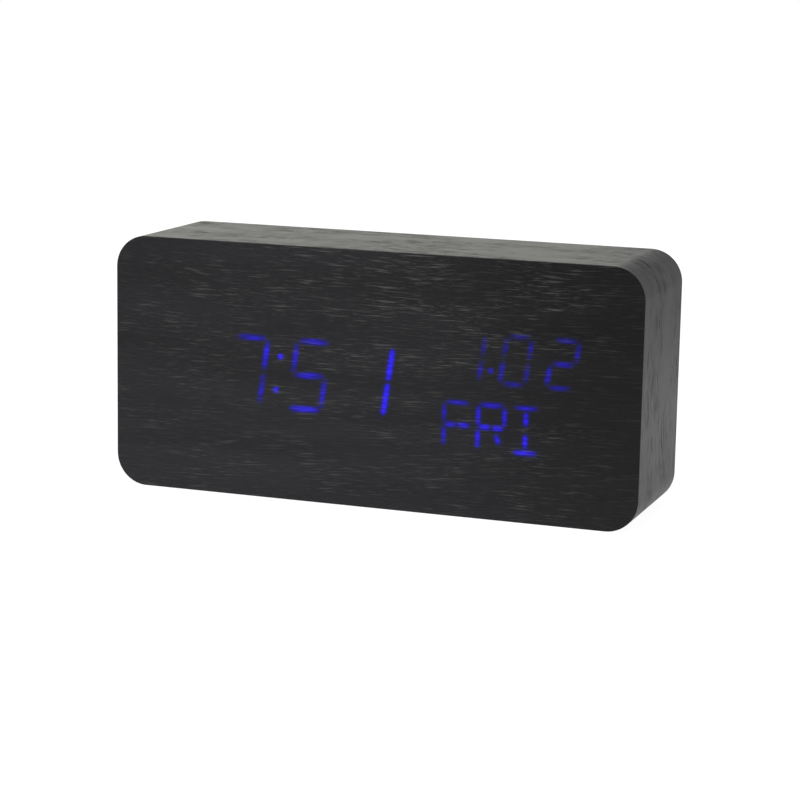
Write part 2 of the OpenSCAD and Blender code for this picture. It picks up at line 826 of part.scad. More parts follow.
// A cell along X: its cap lies against the pip of one plate, and a spring pushes its foot
module cell(i) {
    cap_h = 1;
    cap_r = 1.9;
    shoulder = 0.6;
    r = cell_d / 2;
    tip = bay_l / 2 - plate_t - pip_h;
    lift() translate([bay_x, cell_y, cell_z(i)]) rotate([0, points_right(i) ? 90 : -90, 0])
        translate([0, 0, tip - cell_l]) rotate_extrude() polygon([
            [0, 0], [r - 0.3, 0], [r, 0.3], [r, cell_l - cap_h - shoulder],
            [r - shoulder, cell_l - cap_h], [cap_r, cell_l - cap_h], [cap_r, cell_l - 0.2],
            [cap_r - 0.2, cell_l], [0, cell_l]
        ]);
}

module cell_1() { color("#3f4a52") cell(0); }
module cell_2() { color("#3f4a52") cell(1); }
module cell_3() { color("#3f4a52") cell(2); }
module cell_4() { color("#3f4a52") cell(3); }

// A contact plate on the end wall at side s, across the cells first to last
module contact_plate(s, first, last) {
    plate_w = 8;
    top = cell_y + cell_d / 2 - 1.2;
    z0 = cell_z(last) - plate_w / 2;
    z1 = cell_z(first) + plate_w / 2;
    wall = s > 0 ? bay_right - plate_t : bay_left;
    translate([wall, sump_floor, z0]) cube([plate_t, top - sump_floor, z1 - z0]);
    for (i = [first : last]) if (points_right(i) == (s > 0))
        translate([s > 0 ? wall : wall + plate_t, cell_y, cell_z(i)]) rotate([0, s > 0 ? -90 : 90, 0])
            cylinder(r1 = pip_r, r2 = pip_tip_r, h = pip_h - 0.02);
}

// A tag under a terminal plate, through the tub's floor
module contact_tag(i) {
    translate([bay_left, tub_bottom - tag_l, cell_z(i) - tag_w / 2])
        cube([plate_t, sump_floor - tub_bottom + tag_l + past, tag_w]);
}

module contact_plates() {
    color("#c9c6ba") lift() {
        for (i = [0, cell_n - 1]) {
            contact_plate(-1, i, i);
            contact_tag(i);
        }
        contact_plate(-1, 1, 2);
        contact_plate(1, 0, 1);
        contact_plate(1, 2, 3);
    }
}

// Conical spring, wide on its plate and narrow on the cell
spring_base_r = 3.4;
spring_tip_r = 2.2;
spring_steps = 12;
spring_clear = 0.03;
spring_path = [for (k = [0 : spring_turns * spring_steps])
    let (u = k / (spring_turns * spring_steps), a = 360 * spring_turns * u,
         r = spring_base_r + (spring_tip_r - spring_base_r) * u,
         rise = spring_wire / 2 + spring_clear)
    [r * cos(a), r * sin(a), rise + u * (spring_l - 2 * rise)]];
// Least gap between turns, from each point to those at least half a turn away
spring_least_gap = min([for (i = [0 : len(spring_path) - 1], j = [0 : len(spring_path) - 1])
    if (j - i >= spring_steps / 2) norm(spring_path[i] - spring_path[j])]) - spring_wire;
echo(spring_least_gap = spring_least_gap);

module contact_springs() {
    foot = bay_l / 2 - plate_t;
    color("#d5d5d8") lift() for (i = [0 : cell_n - 1])
        translate([bay_x, cell_y, cell_z(i)]) rotate([0, points_right(i) ? 90 : -90, 0])
            translate([0, 0, -foot]) tube(spring_path, spring_wire / 2, 6, [1, 0, 0]);
}

// Leads from the terminal tags to the control board
module battery_lead(i) {
    x0 = bay_left + plate_t / 2;
    x1 = control_x + control_w / 2 - lead_inset;
    y0 = tub_bottom - tag_l;
    y1 = y0 - tag_drop;
    z = cell_z(i);
    route = [[x0, y0, z], [x0, y1, z], [x1, y1, z], [x1, control_front, z]];
    lift() tube(rounded_route(route, lead_bend, 6), lead_r, 8, [0, 0, 1]);
}

module battery_lead_red() { color("#b3261e") battery_lead(0); }
module battery_lead_black() { color("#222224") battery_lead(cell_n - 1); }

// Buttons and switches

module button(k) {
    lift() at_control() at(k * button_pitch, button_z) {
        slab(rim_inner, panel_face + button_proud) rounded_rect(button_l, button_w, button_r);
        slab(rim_inner, rim_outer)
            rounded_rect(button_l + 2 * button_rim, button_w + 2 * button_rim, button_r + button_rim);
    }
}

plunger_grip = 1.2;
plunger_fit = 0.08;

module plunger(k) {
    lift() at_control() at(k * button_pitch, button_z)
        rod(plunger_r, switch_top - plunger_grip, rim_inner);
}

module switch_body(k) {
    bore_depth = plunger_grip + button_travel + 0.3;
    lift() at_control() at(k * button_pitch, button_z) difference() {
        slab(control_rear, switch_top) square(switch_s, center = true);
        rod(plunger_r + plunger_fit, switch_top - bore_depth, switch_top + past);
    }
}

module set_button() { color("#2a2a2c") button(1); }
module up_button() { color("#2a2a2c") button(0); }
module down_button() { color("#2a2a2c") button(-1); }
module set_plunger() { color("#141416") plunger(1); }
module up_plunger() { color("#141416") plunger(0); }
module down_plunger() { color("#141416") plunger(-1); }
module set_switch() { color("#b5b8bc") switch_body(1); }
module up_switch() { color("#b5b8bc") switch_body(0); }
module down_switch() { color("#b5b8bc") switch_body(-1); }

// Control board and its parts

module control_board() {
    color("#1f5d3a") lift() difference() {
        at_control() slab(control_front, control_rear) rounded_rect(control_w, control_h, 1);
        at_bosses() rod(small_screw_r + hole_clear, control_front - past, control_rear + past);
    }
}

module control_screws() {
    color("#b9bcc0") lift() at_bosses() translate([0, control_front, 0]) rotate([0, 0, 180])
        pan_screw(0, boss_screw_l);
}

module control_chip() {
    color("#1c1c1e") lift() at_control() at(chip_at[0], chip_at[1])
        chip(control_front, -1, control_chip_l, control_chip_pins);
}

module clock_crystal() {
    r = 1.5;
    l = 7;
    rest = 0.05;
    leg_r = 0.2;
    leg_l = 2.5;
    leg_gap = 0.6;
    color("#c7cacd") lift() at_control() at(crystal_at[0], crystal_at[1])
        translate([0, control_front - r - rest, 0]) {
        cylinder(r = r, h = l);
        for (s = [-1, 1]) translate([s * leg_gap, 0, -leg_l]) {
            cylinder(r = leg_r, h = leg_l + past);
            rod(leg_r, 0, r + rest);
        }
    }
}

module filter_capacitors() {
    r = 2.5;
    h = 7;
    color("#26304a") lift() at_control() for (c = capacitors_at) at(c[0], c[1])
        turned(control_front - h) polygon([
            [0, 0.2], [r - 0.6, 0.2], [r - 0.4, 0], [r, 0.4], [r, h - 2], [r - 0.3, h - 1.7],
            [r, h - 1.4], [r, h], [0, h]
        ]);
}

module buzzer() {
    color("#111113") lift() at_control() at(buzzer_at[0], buzzer_at[1])
        turned(control_rear) polygon([
            [0, 0], [buzzer_r, 0], [buzzer_r, buzzer_h - 0.4], [buzzer_r - 0.4, buzzer_h],
            [1.2, buzzer_h], [1.2, buzzer_h - 1], [0, buzzer_h - 1]
        ]);
}

module microphone() {
    color("#a9acb0") lift() at_control() at(mic_at[0], mic_at[1])
        turned(control_rear) polygon([
            [0, 0], [mic_r, 0], [mic_r, mic_h - 0.3], [mic_r - 0.3, mic_h], [mic_r - 0.8, mic_h],
            [mic_r - 0.8, mic_h - 0.5], [0, mic_h - 0.5]
        ]);
}

module temperature_sensor() {
    leg_r = 0.25;
    leg_gap = 0.6;
    bead_gap = 0.4;
    bead_y = panel_inner - bead_r - bead_gap;
    color("#2f5f44") lift() at_control() at(sensor_at[0], sensor_at[1]) {
        translate([0, bead_y, 0]) sphere(bead_r);
        for (s = [-1, 1]) at(s * leg_gap, 0) rod(leg_r, control_rear, bead_y);
    }
}

// A plug socket's shell section: square above and chamfered below
function port_outline(w, h, c) = [
    [-w / 2, h / 2], [w / 2, h / 2], [w / 2, c - h / 2], [w / 2 - c, -h / 2],
    [c - w / 2, -h / 2], [-w / 2, c - h / 2]
];

port_end = panel_inner + port_reach;
port_fit = 0.05;

module power_port() {
    color("#c4c7ca") lift() at_control() at(port_at[0], port_at[1])
        slab(control_rear, port_end) difference() {
            polygon(port_outline(port_w, port_h, port_chamfer));
            polygon(port_outline(port_w - 2 * port_wall, port_h - 2 * port_wall, port_inner_chamfer));
        }
}

module power_port_tongue() {
    inset = 2 * (port_wall + port_fit);
    base_h = 2;
    tongue_w = 3.9;
    tongue_t = 0.6;
    color("#17171a") lift() at_control() at(port_at[0], port_at[1]) {
        slab(control_rear, control_rear + base_h)
            polygon(port_outline(port_w - inset, port_h - inset, port_inner_chamfer));
        slab(control_rear + base_h - past, port_end - 0.8) square([tongue_w, tongue_t], center = true);
    }
}

case_core();
wrap_veneer();
front_veneer();
back_veneer();
diffuser_film();
segment_mask();
display_leds();
display_board();
display_screws();
driver_chip();
display_connector();
ribbon_cable();
control_connector();
rear_panel();
panel_screws();
battery_door();
cell_1();
cell_2();
cell_3();
cell_4();
contact_plates();
contact_springs();
battery_lead_red();
battery_lead_black();
set_button();
up_button();
down_button();
set_plunger();
up_plunger();
down_plunger();
set_switch();
up_switch();
down_switch();
control_board();
control_screws();
control_chip();
clock_crystal();
filter_capacitors();
buzzer();
microphone();
temperature_sensor();
power_port();
power_port_tongue();
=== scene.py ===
import math

import bmesh
import bpy
import numpy as np
from mathutils import Matrix, Vector


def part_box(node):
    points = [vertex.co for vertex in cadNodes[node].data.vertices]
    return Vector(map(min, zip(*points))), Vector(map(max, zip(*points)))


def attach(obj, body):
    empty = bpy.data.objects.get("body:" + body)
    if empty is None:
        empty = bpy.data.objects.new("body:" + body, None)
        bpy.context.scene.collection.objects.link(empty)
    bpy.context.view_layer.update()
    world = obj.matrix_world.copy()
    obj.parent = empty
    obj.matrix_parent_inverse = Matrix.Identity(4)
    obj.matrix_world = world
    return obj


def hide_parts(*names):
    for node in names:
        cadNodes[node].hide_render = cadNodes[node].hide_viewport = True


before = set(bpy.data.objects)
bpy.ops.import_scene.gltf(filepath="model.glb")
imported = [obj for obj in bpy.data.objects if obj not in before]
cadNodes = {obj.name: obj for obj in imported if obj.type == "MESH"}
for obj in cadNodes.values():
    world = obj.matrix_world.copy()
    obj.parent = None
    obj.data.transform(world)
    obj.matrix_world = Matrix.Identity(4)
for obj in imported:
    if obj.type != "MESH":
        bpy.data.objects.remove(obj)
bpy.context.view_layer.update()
mm = 0.001


def nodeBox(node):
    # lowest and highest corner of a CAD node at rest, in mm
    low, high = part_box(node)
    return np.array(low) / mm, np.array(high) / mm


def addObject(name, data):
    # a new object in the scene, at the origin
    made = bpy.data.objects.new(name, data)
    bpy.context.scene.collection.objects.link(made)
    return made


print("stage: frame loaded,", len(cadNodes), "nodes")

# camera and studio

cameraLook = {
    "lens": 110.792, "sensor": 36,  # mm
    "azimuth": 19.703, "elevation": 10.822, "roll": 1.058,  # degrees
    "distance": 678.133, "aimHeight": 35, "shiftAcross": -1.325, "shiftUp": 8.654,  # mm
    "clip": (0.01, 50),  # m
}


def placeCamera(look):
    # stands off along the view's back direction, then slides across and up in the picture plane
    az, el, roll = (math.radians(look[key]) for key in ("azimuth", "elevation", "roll"))
    back = Vector((math.sin(az) * math.cos(el), -math.cos(az) * math.cos(el), math.sin(el)))
    level = Vector((math.cos(az), math.sin(az), 0))
    rise = back.cross(level)
    across = math.cos(roll) * level + math.sin(roll) * rise
    up = math.cos(roll) * rise - math.sin(roll) * level
    spot = Vector((0, 0, look["aimHeight"])) + back * look["distance"]
    spot -= across * look["shiftAcross"] + up * look["shiftUp"]
    lens = bpy.data.cameras.new("productCamera")
    lens.lens = look["lens"]
    lens.sensor_width = look["sensor"]
    lens.clip_start, lens.clip_end = look["clip"]
    camera = addObject("productCamera", lens)
    turn = Matrix((across, up, back)).transposed().to_4x4()
    camera.matrix_world = Matrix.Translation(spot * mm) @ turn
    bpy.context.scene.camera = camera


placeCamera(cameraLook)

white = (1, 1, 1, 1)
noiseSpan = (0.3, 0.7)  # where most values of a noise lie


def addNode(tree, kind, sockets=None, **settings):
    # one shader node; a socket gets a plain value, or a link where the value is another socket
    made = tree.nodes.new("ShaderNode" + kind)
    for key, value in settings.items():
        setattr(made, key, value)
    for key, value in (sockets or {}).items():
        if isinstance(value, bpy.types.NodeSocket):
            tree.links.new(value, made.inputs[key])
        else:
            made.inputs[key].default_value = value
    return made


def calc(tree, operation, a, b=0.0):
    # one step of arithmetic, on one value or two
    return addNode(tree, "Math", {0: a, 1: b}, operation=operation).outputs[0]


def ramp(tree, value, low, high, start=0.0, end=1.0):
    # eases from start to end as the value goes from low to high
    sockets = {"Value": value, "From Min": low, "From Max": high, "To Min": start, "To Max": end}
    return addNode(tree, "MapRange", sockets, interpolation_type="SMOOTHSTEP").outputs["Result"]


def graded(tree, value, start, end):
    # eases from start to end over the span of a noise
    return ramp(tree, value, *noiseSpan, start, end)


def mixColour(tree, share, a, b, blend="MIX"):
    # inputs 6 and 7 and output 2 are the Mix node's colours
    return addNode(tree, "Mix", {0: share, 6: a, 7: b}, data_type="RGBA", blend_type=blend).outputs[2]


def stretch(tree, vector, scale, shift=(0, 0, 0)):
    # vector times scale plus shift
    return addNode(tree, "VectorMath", {0: vector, 1: scale, 2: shift}, operation="MULTIPLY_ADD").outputs[0]


def noise(tree, vector, scale=1.0, detail=2.0, roughness=0.5):
    # cloudy values round 0.5
    sockets = {"Vector": vector, "Scale": scale, "Detail": detail, "Roughness": roughness}
    return addNode(tree, "TexNoise", sockets).outputs[0]


def bump(tree, height, depth):
    # depth in mm
    return addNode(tree, "Bump", {"Height": height, "Distance": depth * mm}).outputs["Normal"]


def attribute(tree, name, output="Fac"):
    # a field that makePiece put on the mesh
    return addNode(tree, "Attribute", attribute_name=name).outputs[output]


def objectSpot(tree):
    # the place on the piece, in m
    return addNode(tree, "TexCoord").outputs["Object"]


def emptyTree(owner):
    # the cleared node tree of a material or a world
    owner.use_nodes = True
    owner.node_tree.nodes.clear()
    return owner.node_tree


def newFinish(name, **sockets):
    # an empty material with one Principled shader whose named sockets are set
    finish = bpy.data.materials.new(name)
    tree = emptyTree(finish)
    shader = addNode(tree, "BsdfPrincipled")
    for key, value in sockets.items():
        shader.inputs[key.replace("_", " ")].default_value = value
    addNode(tree, "OutputMaterial", {"Surface": shader.outputs[0]})
    return finish, tree, shader


def drive(tree, shader, **sources):
    # links each source to the shader's socket of that name
    for key, source in sources.items():
        tree.links.new(source, shader.inputs[key.replace("_", " ")])


studioLook = {
    "ambient": 0.55,  # light on the object from all round
    # in gloss: heights between which the sky dims and its level overhead, then the same from left to right
    "horizon": 0.17, "overhead": 0.6, "overheadLevel": 0.05,
    "sideTurn": (-0.42, 0.15), "rightLevel": 0.56,
    "floorHalf": 3.0, "floorDrop": 5e-5,  # m
    "floorGlow": 0.93, "floorShade": 0.2,  # glow and grey of the floor as the camera sees it
    # its glow in gloss, m over which that fades, share left beyond
    "glossGlow": 0.5, "pool": (0.15, 0.42), "poolEdge": 0.3,
    "floorBounce": 0.8,
    # place and width in m, watts, colour
    "lamps": {
        "key": ((-0.75, -1.3, 1.1), 0.9, 16, (1, 1, 1)),
        "fill": ((1.2, -0.9, 0.7), 0.8, 5, (1, 1, 1)),
        "top": ((-0.6, 1.3, 0.5), 0.8, 0.43, (1.0, 0.99, 0.7)),
    },
    "lampAim": (0, 0, 0.035),  # m
}


def whiteRays(tree):
    # 1 for rays that show the surroundings: straight to the camera, in gloss or through glass
    path = addNode(tree, "LightPath").outputs
    seen = calc(tree, "MAXIMUM", path["Is Camera Ray"], path["Is Glossy Ray"])
    return calc(tree, "MAXIMUM", seen, path["Is Transmission Ray"])


def buildSky(look):
    # white to the camera; in gloss white at the horizon on the left, and dimmer overhead and to the right
    world = bpy.data.worlds.new("whiteStudio")
    bpy.context.scene.world = world
    tree = emptyTree(world)
    way = addNode(tree, "SeparateXYZ", {0: addNode(tree, "TexCoord").outputs["Generated"]}).outputs
    level = ramp(tree, way["Z"], look["horizon"], look["overhead"], 1, look["overheadLevel"])
    level = calc(tree, "MULTIPLY", level, ramp(tree, way["X"], *look["sideTurn"], 1, look["rightLevel"]))
    level = calc(tree, "MAXIMUM", level, addNode(tree, "LightPath").outputs["Is Camera Ray"])
    shown = whiteRays(tree)
    plain = calc(tree, "MULTIPLY", calc(tree, "SUBTRACT", 1.0, shown), look["ambient"])
    strength = calc(tree, "ADD", plain, calc(tree, "MULTIPLY", shown, level))
    sky = addNode(tree, "Background", {"Color": white, "Strength": strength})
    addNode(tree, "OutputWorld", {"Surface": sky.outputs[0]})


def buildFloor(look):
    # seen straight on, the floor is nearly all glow; in gloss it keeps more of the object's shadow
    half, height = look["floorHalf"], -look["floorDrop"]
    corners = [(-half, -half, height), (half, -half, height), (half, half, height), (-half, half, height)]
    mesh = bpy.data.meshes.new("paleFloor")
    mesh.from_pydata(corners, [], [(0, 1, 2, 3)])
    floor = addObject("paleFloor", mesh)
    finish = bpy.data.materials.new("paleFloor")
    tree = emptyTree(finish)
    straight = addNode(tree, "LightPath").outputs["Is Camera Ray"]
    reach = addNode(tree, "VectorMath", {0: objectSpot(tree)}, operation="LENGTH").outputs["Value"]
    pool = calc(tree, "MULTIPLY", ramp(tree, reach, *look["pool"], 1, look["poolEdge"]), look["glossGlow"])
    shine = ramp(tree, straight, 0, 1, pool, look["floorGlow"])
    grey = ramp(tree, straight, 0, 1, 1 - look["glossGlow"], look["floorShade"])
    bounce = addNode(tree, "BsdfDiffuse", {"Color": (look["floorBounce"],) * 3 + (1,)})
    shadow = addNode(tree, "BsdfDiffuse", {"Color": grey})
    glow = addNode(tree, "Emission", {"Color": white, "Strength": shine})
    seen = addNode(tree, "AddShader", {0: glow.outputs[0], 1: shadow.outputs[0]})
    both = addNode(tree, "MixShader", {0: whiteRays(tree), 1: bounce.outputs[0], 2: seen.outputs[0]})
    addNode(tree, "OutputMaterial", {"Surface": both.outputs[0]})
    mesh.materials.append(finish)


def buildLamps(look):
    # round area lamps that look at the object's middle
    for name, (spot, size, watts, colour) in look["lamps"].items():
        lamp = bpy.data.lights.new(name + "Light", "AREA")
        lamp.shape, lamp.size, lamp.energy, lamp.color = "DISK", size, watts, colour
        holder = addObject(name + "Light", lamp)
        facing = Vector(spot) - Vector(look["lampAim"])
        holder.matrix_world = Matrix.Translation(spot) @ facing.to_track_quat("Z", "Y").to_matrix().to_4x4()


buildSky(studioLook)
buildFloor(studioLook)
buildLamps(studioLook)
bpy.context.scene.view_settings.view_transform = "Standard"
print("stage: camera and studio")

# shared shape tools, in mm

meshRules = {"merge": 2e-4, "sharp": 40}  # mm, degrees
hair = 1e-6  # mm, slack where places are compared


def placePiece(name, mesh, sharp, body, node):
    # smooth but for edges sharper than the angle; rides on its body in place of its CAD node
    mesh.shade_smooth()
    mesh.set_sharp_from_angle(angle=math.radians(sharp))
    piece = addObject(name, mesh)
    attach(piece, body)
    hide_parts(node)
    return piece


def makePiece(name, points, quads, finishes, body, slotName, node, fields=None, extra=(), paint=None):
    # points is (n, 3) in mm, quads (m, 4); doubles merge, faces turn outwards, fields become attributes
    mesh = bpy.data.meshes.new(name)
    mesh.from_pydata((np.asarray(points, float) * mm).tolist(), [], np.asarray(quads).tolist() + list(extra))
    for field, values in (fields or {}).items():
        values = np.asarray(values, np.float32)
        kind, key = ("FLOAT", "value") if values.ndim == 1 else ("FLOAT_VECTOR", "vector")
        mesh.attributes.new(field, kind, "POINT").data.foreach_set(key, values.ravel())
    for finish in finishes:
        mesh.materials.append(finish)
    if paint is not None:  # which finish each face takes
        mesh.polygons.foreach_set("material_index", np.asarray(paint, np.int32))
    shape = bmesh.new()
    shape.from_mesh(mesh)
    bmesh.ops.remove_doubles(shape, verts=shape.verts, dist=meshRules["merge"] * mm)
    bmesh.ops.recalc_face_normals(shape, faces=shape.faces)
    shape.to_mesh(mesh)
    shape.free()
    placePiece(name, mesh, meshRules["sharp"], body, node)


def gridQuads(rows, columns, loopRows=False, loopColumns=False, first=0):
    # quads of a rows x columns grid of points; a loop joins the last line to the first
    r = np.arange(rows if loopRows else rows - 1)
    c = np.arange(columns if loopColumns else columns - 1)
    r, c = (side.ravel() for side in np.meshgrid(r, c, indexing="ij"))
    r2, c2 = (r + 1) % rows, (c + 1) % columns
    return first + np.stack([r * columns + c, r * columns + c2, r2 * columns + c2, r2 * columns + c], 1)


def endCaps(rows, columns):
    # the first and the last row of a grid as one face each
    return [list(range(columns)), list(range((rows - 1) * columns, rows * columns))[::-1]]


def quarterTurn(steps):
    # angles from 0 to a right angle, both ends included
    return np.radians(np.linspace(0, 90, steps + 1))


def fullTurn(steps):
    # angles once round, without the last, which is the first again
    return np.linspace(0, 2 * math.pi, steps, endpoint=False)


def unit(vectors):
    # each vector divided by its length
    return vectors / np.linalg.norm(vectors, axis=-1, keepdims=True)


def roundedOutline(w, h, r, arc, level, upright):
    # points round a rectangle with round corners, counter-clockwise, and their outward normals;
    # level and upright are the points along its straight sides, between the corners
    spots, normals = [], []
    for quarter, (sx, sz) in enumerate([(1, 1), (-1, 1), (-1, -1), (1, -1)]):
        angle = quarterTurn(arc) + quarter * math.pi / 2
        normal = np.stack([np.cos(angle), np.sin(angle)], 1)
        corner = np.array([sx * (w / 2 - r), sz * (h / 2 - r)]) + r * normal
        nextAcross = np.array([-sx if quarter % 2 == 0 else sx, sz if quarter % 2 == 0 else -sz])
        goal = nextAcross * np.array([w / 2 - r, h / 2 - r]) + r * normal[-1]
        share = np.linspace(0, 1, (upright if quarter % 2 else level) + 2)[1:-1, None]
        spots += [corner, corner[-1] + (goal - corner[-1]) * share]
        normals += [normal, np.repeat(normal[-1:], len(share), 0)]
    return np.concatenate(spots), np.concatenate(normals)


def sweptRings(outline, normals, profile, centre):
    # carries a profile of (inset, y) pairs round an outline; the first and the last ring close on its middle
    profile = np.asarray(profile, float)
    flat = outline[None] - normals[None] * profile[:, :1, None]
    rings = np.zeros((len(profile) + 2, len(outline), 3))
    rings[1:-1, :, 0] = centre[0] + flat[:, :, 0]
    rings[1:-1, :, 2] = centre[1] + flat[:, :, 1]
    rings[1:-1, :, 1] = profile[:, 1:]
    for end, near in ((0, 1), (-1, -2)):
        rings[end, :, 0], rings[end, :, 2] = centre
        rings[end, :, 1] = rings[near, :, 1]
    return rings.reshape(-1, 3), gridQuads(len(rings), len(outline), loopColumns=True)


def tubeAlong(path, radius, around, axis):
    # a round section carried along a path, its frame from the tangent and one fixed axis
    tangent = unit(np.gradient(path, axis=0))
    side = unit(np.cross(tangent, axis))
    other = np.cross(tangent, side)
    angle = fullTurn(around)[None, :, None]
    rings = path[:, None] + radius * (side[:, None] * np.cos(angle) + other[:, None] * np.sin(angle))
    start, end = (np.repeat(tip[:, None], around, 1) for tip in (path[:1], path[-1:]))
    rings = np.concatenate([start, rings, end])
    return rings.reshape(-1, 3), gridQuads(len(rings), around, loopColumns=True)


def turnedProfile(profile, around, spot, direction):
    # a profile of (distance along, radius) turned round an axis along X from spot
    profile = np.asarray(profile, float)
    angle = fullTurn(around)
    along = np.repeat(profile[:, :1], around, 1)
    points = np.stack([
        spot[0] + direction * along,
        spot[1] + profile[:, 1:] * np.cos(angle),
        spot[2] + profile[:, 1:] * np.sin(angle),
    ], 2)
    return points.reshape(-1, 3), gridQuads(len(profile), around, loopColumns=True), along.ravel()


def joined(parts):
    # several (points, quads) pairs as one
    points, quads, count = [], [], 0
    for part in parts:
        points.append(part[0])
        quads.append(np.asarray(part[1]) + count)
        count += len(part[0])
    return np.concatenate(points), np.concatenate(quads)


def stepsBetween(start, end, step):
    # evenly spaced values about one step apart, both ends included
    return np.linspace(start, end, max(2, int(round(abs(end - start) / step)) + 1))


def smoothTurn(x, middle, ease):
    # rises from 0 to 1 round its middle, 1 / (1 + exp((middle - x) / ease))
    return 1 / (1 + np.exp((middle - x) / ease))


# wood sheets

blockSize = {"w": 150, "h": 70, "corner": 8.8, "front": -20, "back": 20, "sheet": 0.4}  # mm

woodLook = {
    # rim is a painted highlight for the front film's rolled edge
    "ground": (0.0136, 0.0136, 0.0153, 1), "pore": (0.081, 0.080, 0.078, 1), "rim": (0.11, 0.11, 0.107, 1),
    "specular": 0.15, "roughness": 0.44, "roughSpread": (-0.05, 0.06), "poreRough": 0.25,
    "fibreTone": 0.12, "slowTone": 0.15,  # shares that fibres and slow bands vary the tone by
    "wander": 1.0, "wanderScale": (0.022, 0.045, 1),  # mm that the grain strays sideways, per mm
    # scales along and across the grain, per mm; each noise has its own slice and detail
    "long": (0.13, 2.2, 1), "fine": (0.38, 3.6, 1), "fibre": (0.3, 2.6, 1),
    "cluster": (0.05, 0.16, 1), "tone": (0.014, 0.11, 1), "veil": (0.14, 1.15, 1),
    "slice": {"long": 0, "fine": 9, "fibre": 6, "cluster": 4, "tone": 2, "veil": 11},
    "detail": {"long": 1.6, "fine": 2, "fibre": 3, "cluster": 1, "tone": 3, "veil": 1},
    "fibreGrit": 0.65,
    "open": (0.53, 0.77), "fineShare": 0.55,  # noise levels where a pore opens, strength of the fine ones
    "patchSpan": (0.36, 0.64), "sparse": 0.26,  # noise levels of patches, share of pores between them
    "poreDepth": 0.06, "fibreLift": 0.13,  # mm, share of that depth
    "thin": (0.01, 0.16, 1, 0.55),  # glow levels, and the film's tone at each
    "light": (0.016, 0.001, 1.0, 1), "veilRange": (0.72, 1.3),
}
# the band's film has painted light: its ground is painted lighter for the sheen that it shows at a flat
# angle, and its pores are painted dark for the shade in their open grooves
bandPaintedLightLook = dict(
    woodLook, ground=(0.030, 0.030, 0.029, 1), pore=(0.009, 0.009, 0.009, 1), roughness=0.33, poreRough=0.4,
    fibreTone=0.24, long=(0.12, 2.1, 1), fine=(0.22, 3.2, 1), fibre=(0.04, 2.4, 1), cluster=(0.03, 0.09, 1),
    detail=dict(woodLook["detail"], long=2), open=(0.54, 0.7), sparse=0.14, poreDepth=0.05, fibreLift=0.12)


def stainedWood(name, look, figured=False):
    # black-stained film: slow tone bands, fine fibres, and short pores, all drawn out along the grain;
    # a figured one also has pores that thicken and thin out, a painted highlight along its rolled edge,
    # painted shade darker to the right and painted bounce light at its foot, and light that comes through
    finish, tree, shader = newFinish(name, Specular_IOR_Level=look["specular"])
    grain = attribute(tree, "grain", "Vector")
    stray = calc(tree, "SUBTRACT", noise(tree, stretch(tree, grain, look["wanderScale"]), detail=1), 0.5)
    stray = calc(tree, "MULTIPLY", stray, look["wander"] * 2)
    offset = addNode(tree, "CombineXYZ", {"Y": stray}).outputs[0]
    grain = addNode(tree, "VectorMath", {0: grain, 1: offset}, operation="ADD").outputs[0]

    def grained(key, roughness=0.5):
        spot = stretch(tree, grain, look[key], (0, 0, look["slice"][key]))
        return noise(tree, spot, detail=look["detail"][key], roughness=roughness)

    longPores = ramp(tree, grained("long"), *look["open"])
    finePores = ramp(tree, grained("fine"), *look["open"])
    clusters = ramp(tree, grained("cluster"), *look["patchSpan"], look["sparse"], 1.0)
    pores = calc(tree, "MAXIMUM", longPores, calc(tree, "MULTIPLY", finePores, look["fineShare"]))
    pores = calc(tree, "MULTIPLY", pores, clusters)
    fibres = grained("fibre", look["fibreGrit"])
    depth = graded(tree, fibres, 1 - look["fibreTone"], 1 + look["fibreTone"])
    slow = graded(tree, grained("tone"), 1 - look["slowTone"], 1 + look["slowTone"])
    depth = calc(tree, "MULTIPLY", depth, slow)
    if figured:
        pores = calc(tree, "MULTIPLY", pores, attribute(tree, "figure"))
        glow = attribute(tree, "glow")
        # painted shade, darker to the right, and painted bounce light, lighter at the foot, multiplied into
        # the tone
        depth = calc(tree, "MULTIPLY", depth, attribute(tree, "paintedShadeAndBounce"))
        depth = calc(tree, "MULTIPLY", depth, ramp(tree, glow, *look["thin"]))  # darker over a lit window
    ground = mixColour(tree, 1.0, look["ground"], depth, "MULTIPLY")
    colour = mixColour(tree, pores, ground, look["pore"])
    if figured:
        # painted highlight along the film's rolled edge, paler than the ground
        colour = mixColour(tree, attribute(tree, "rim"), colour, look["rim"])
        veil = ramp(tree, grained("veil"), *look["patchSpan"], *look["veilRange"])
        shader.inputs["Emission Color"].default_value = look["light"]
        drive(tree, shader, Emission_Strength=calc(tree, "MULTIPLY", glow, veil))
    rough = graded(tree, fibres, *(look["roughness"] + change for change in look["roughSpread"]))
    rough = calc(tree, "ADD", rough, calc(tree, "MULTIPLY", pores, look["poreRough"]))
    height = calc(tree, "SUBTRACT", calc(tree, "MULTIPLY", fibres, look["fibreLift"]), pores)
    drive(tree, shader, Base_Color=colour, Roughness=rough, Normal=bump(tree, height, look["poreDepth"]))
    return finish


frontWood = stainedWood("frontWood", woodLook, figured=True)
bandWoodPaintedLight = stainedWood("bandWoodPaintedLight", bandPaintedLightLook)

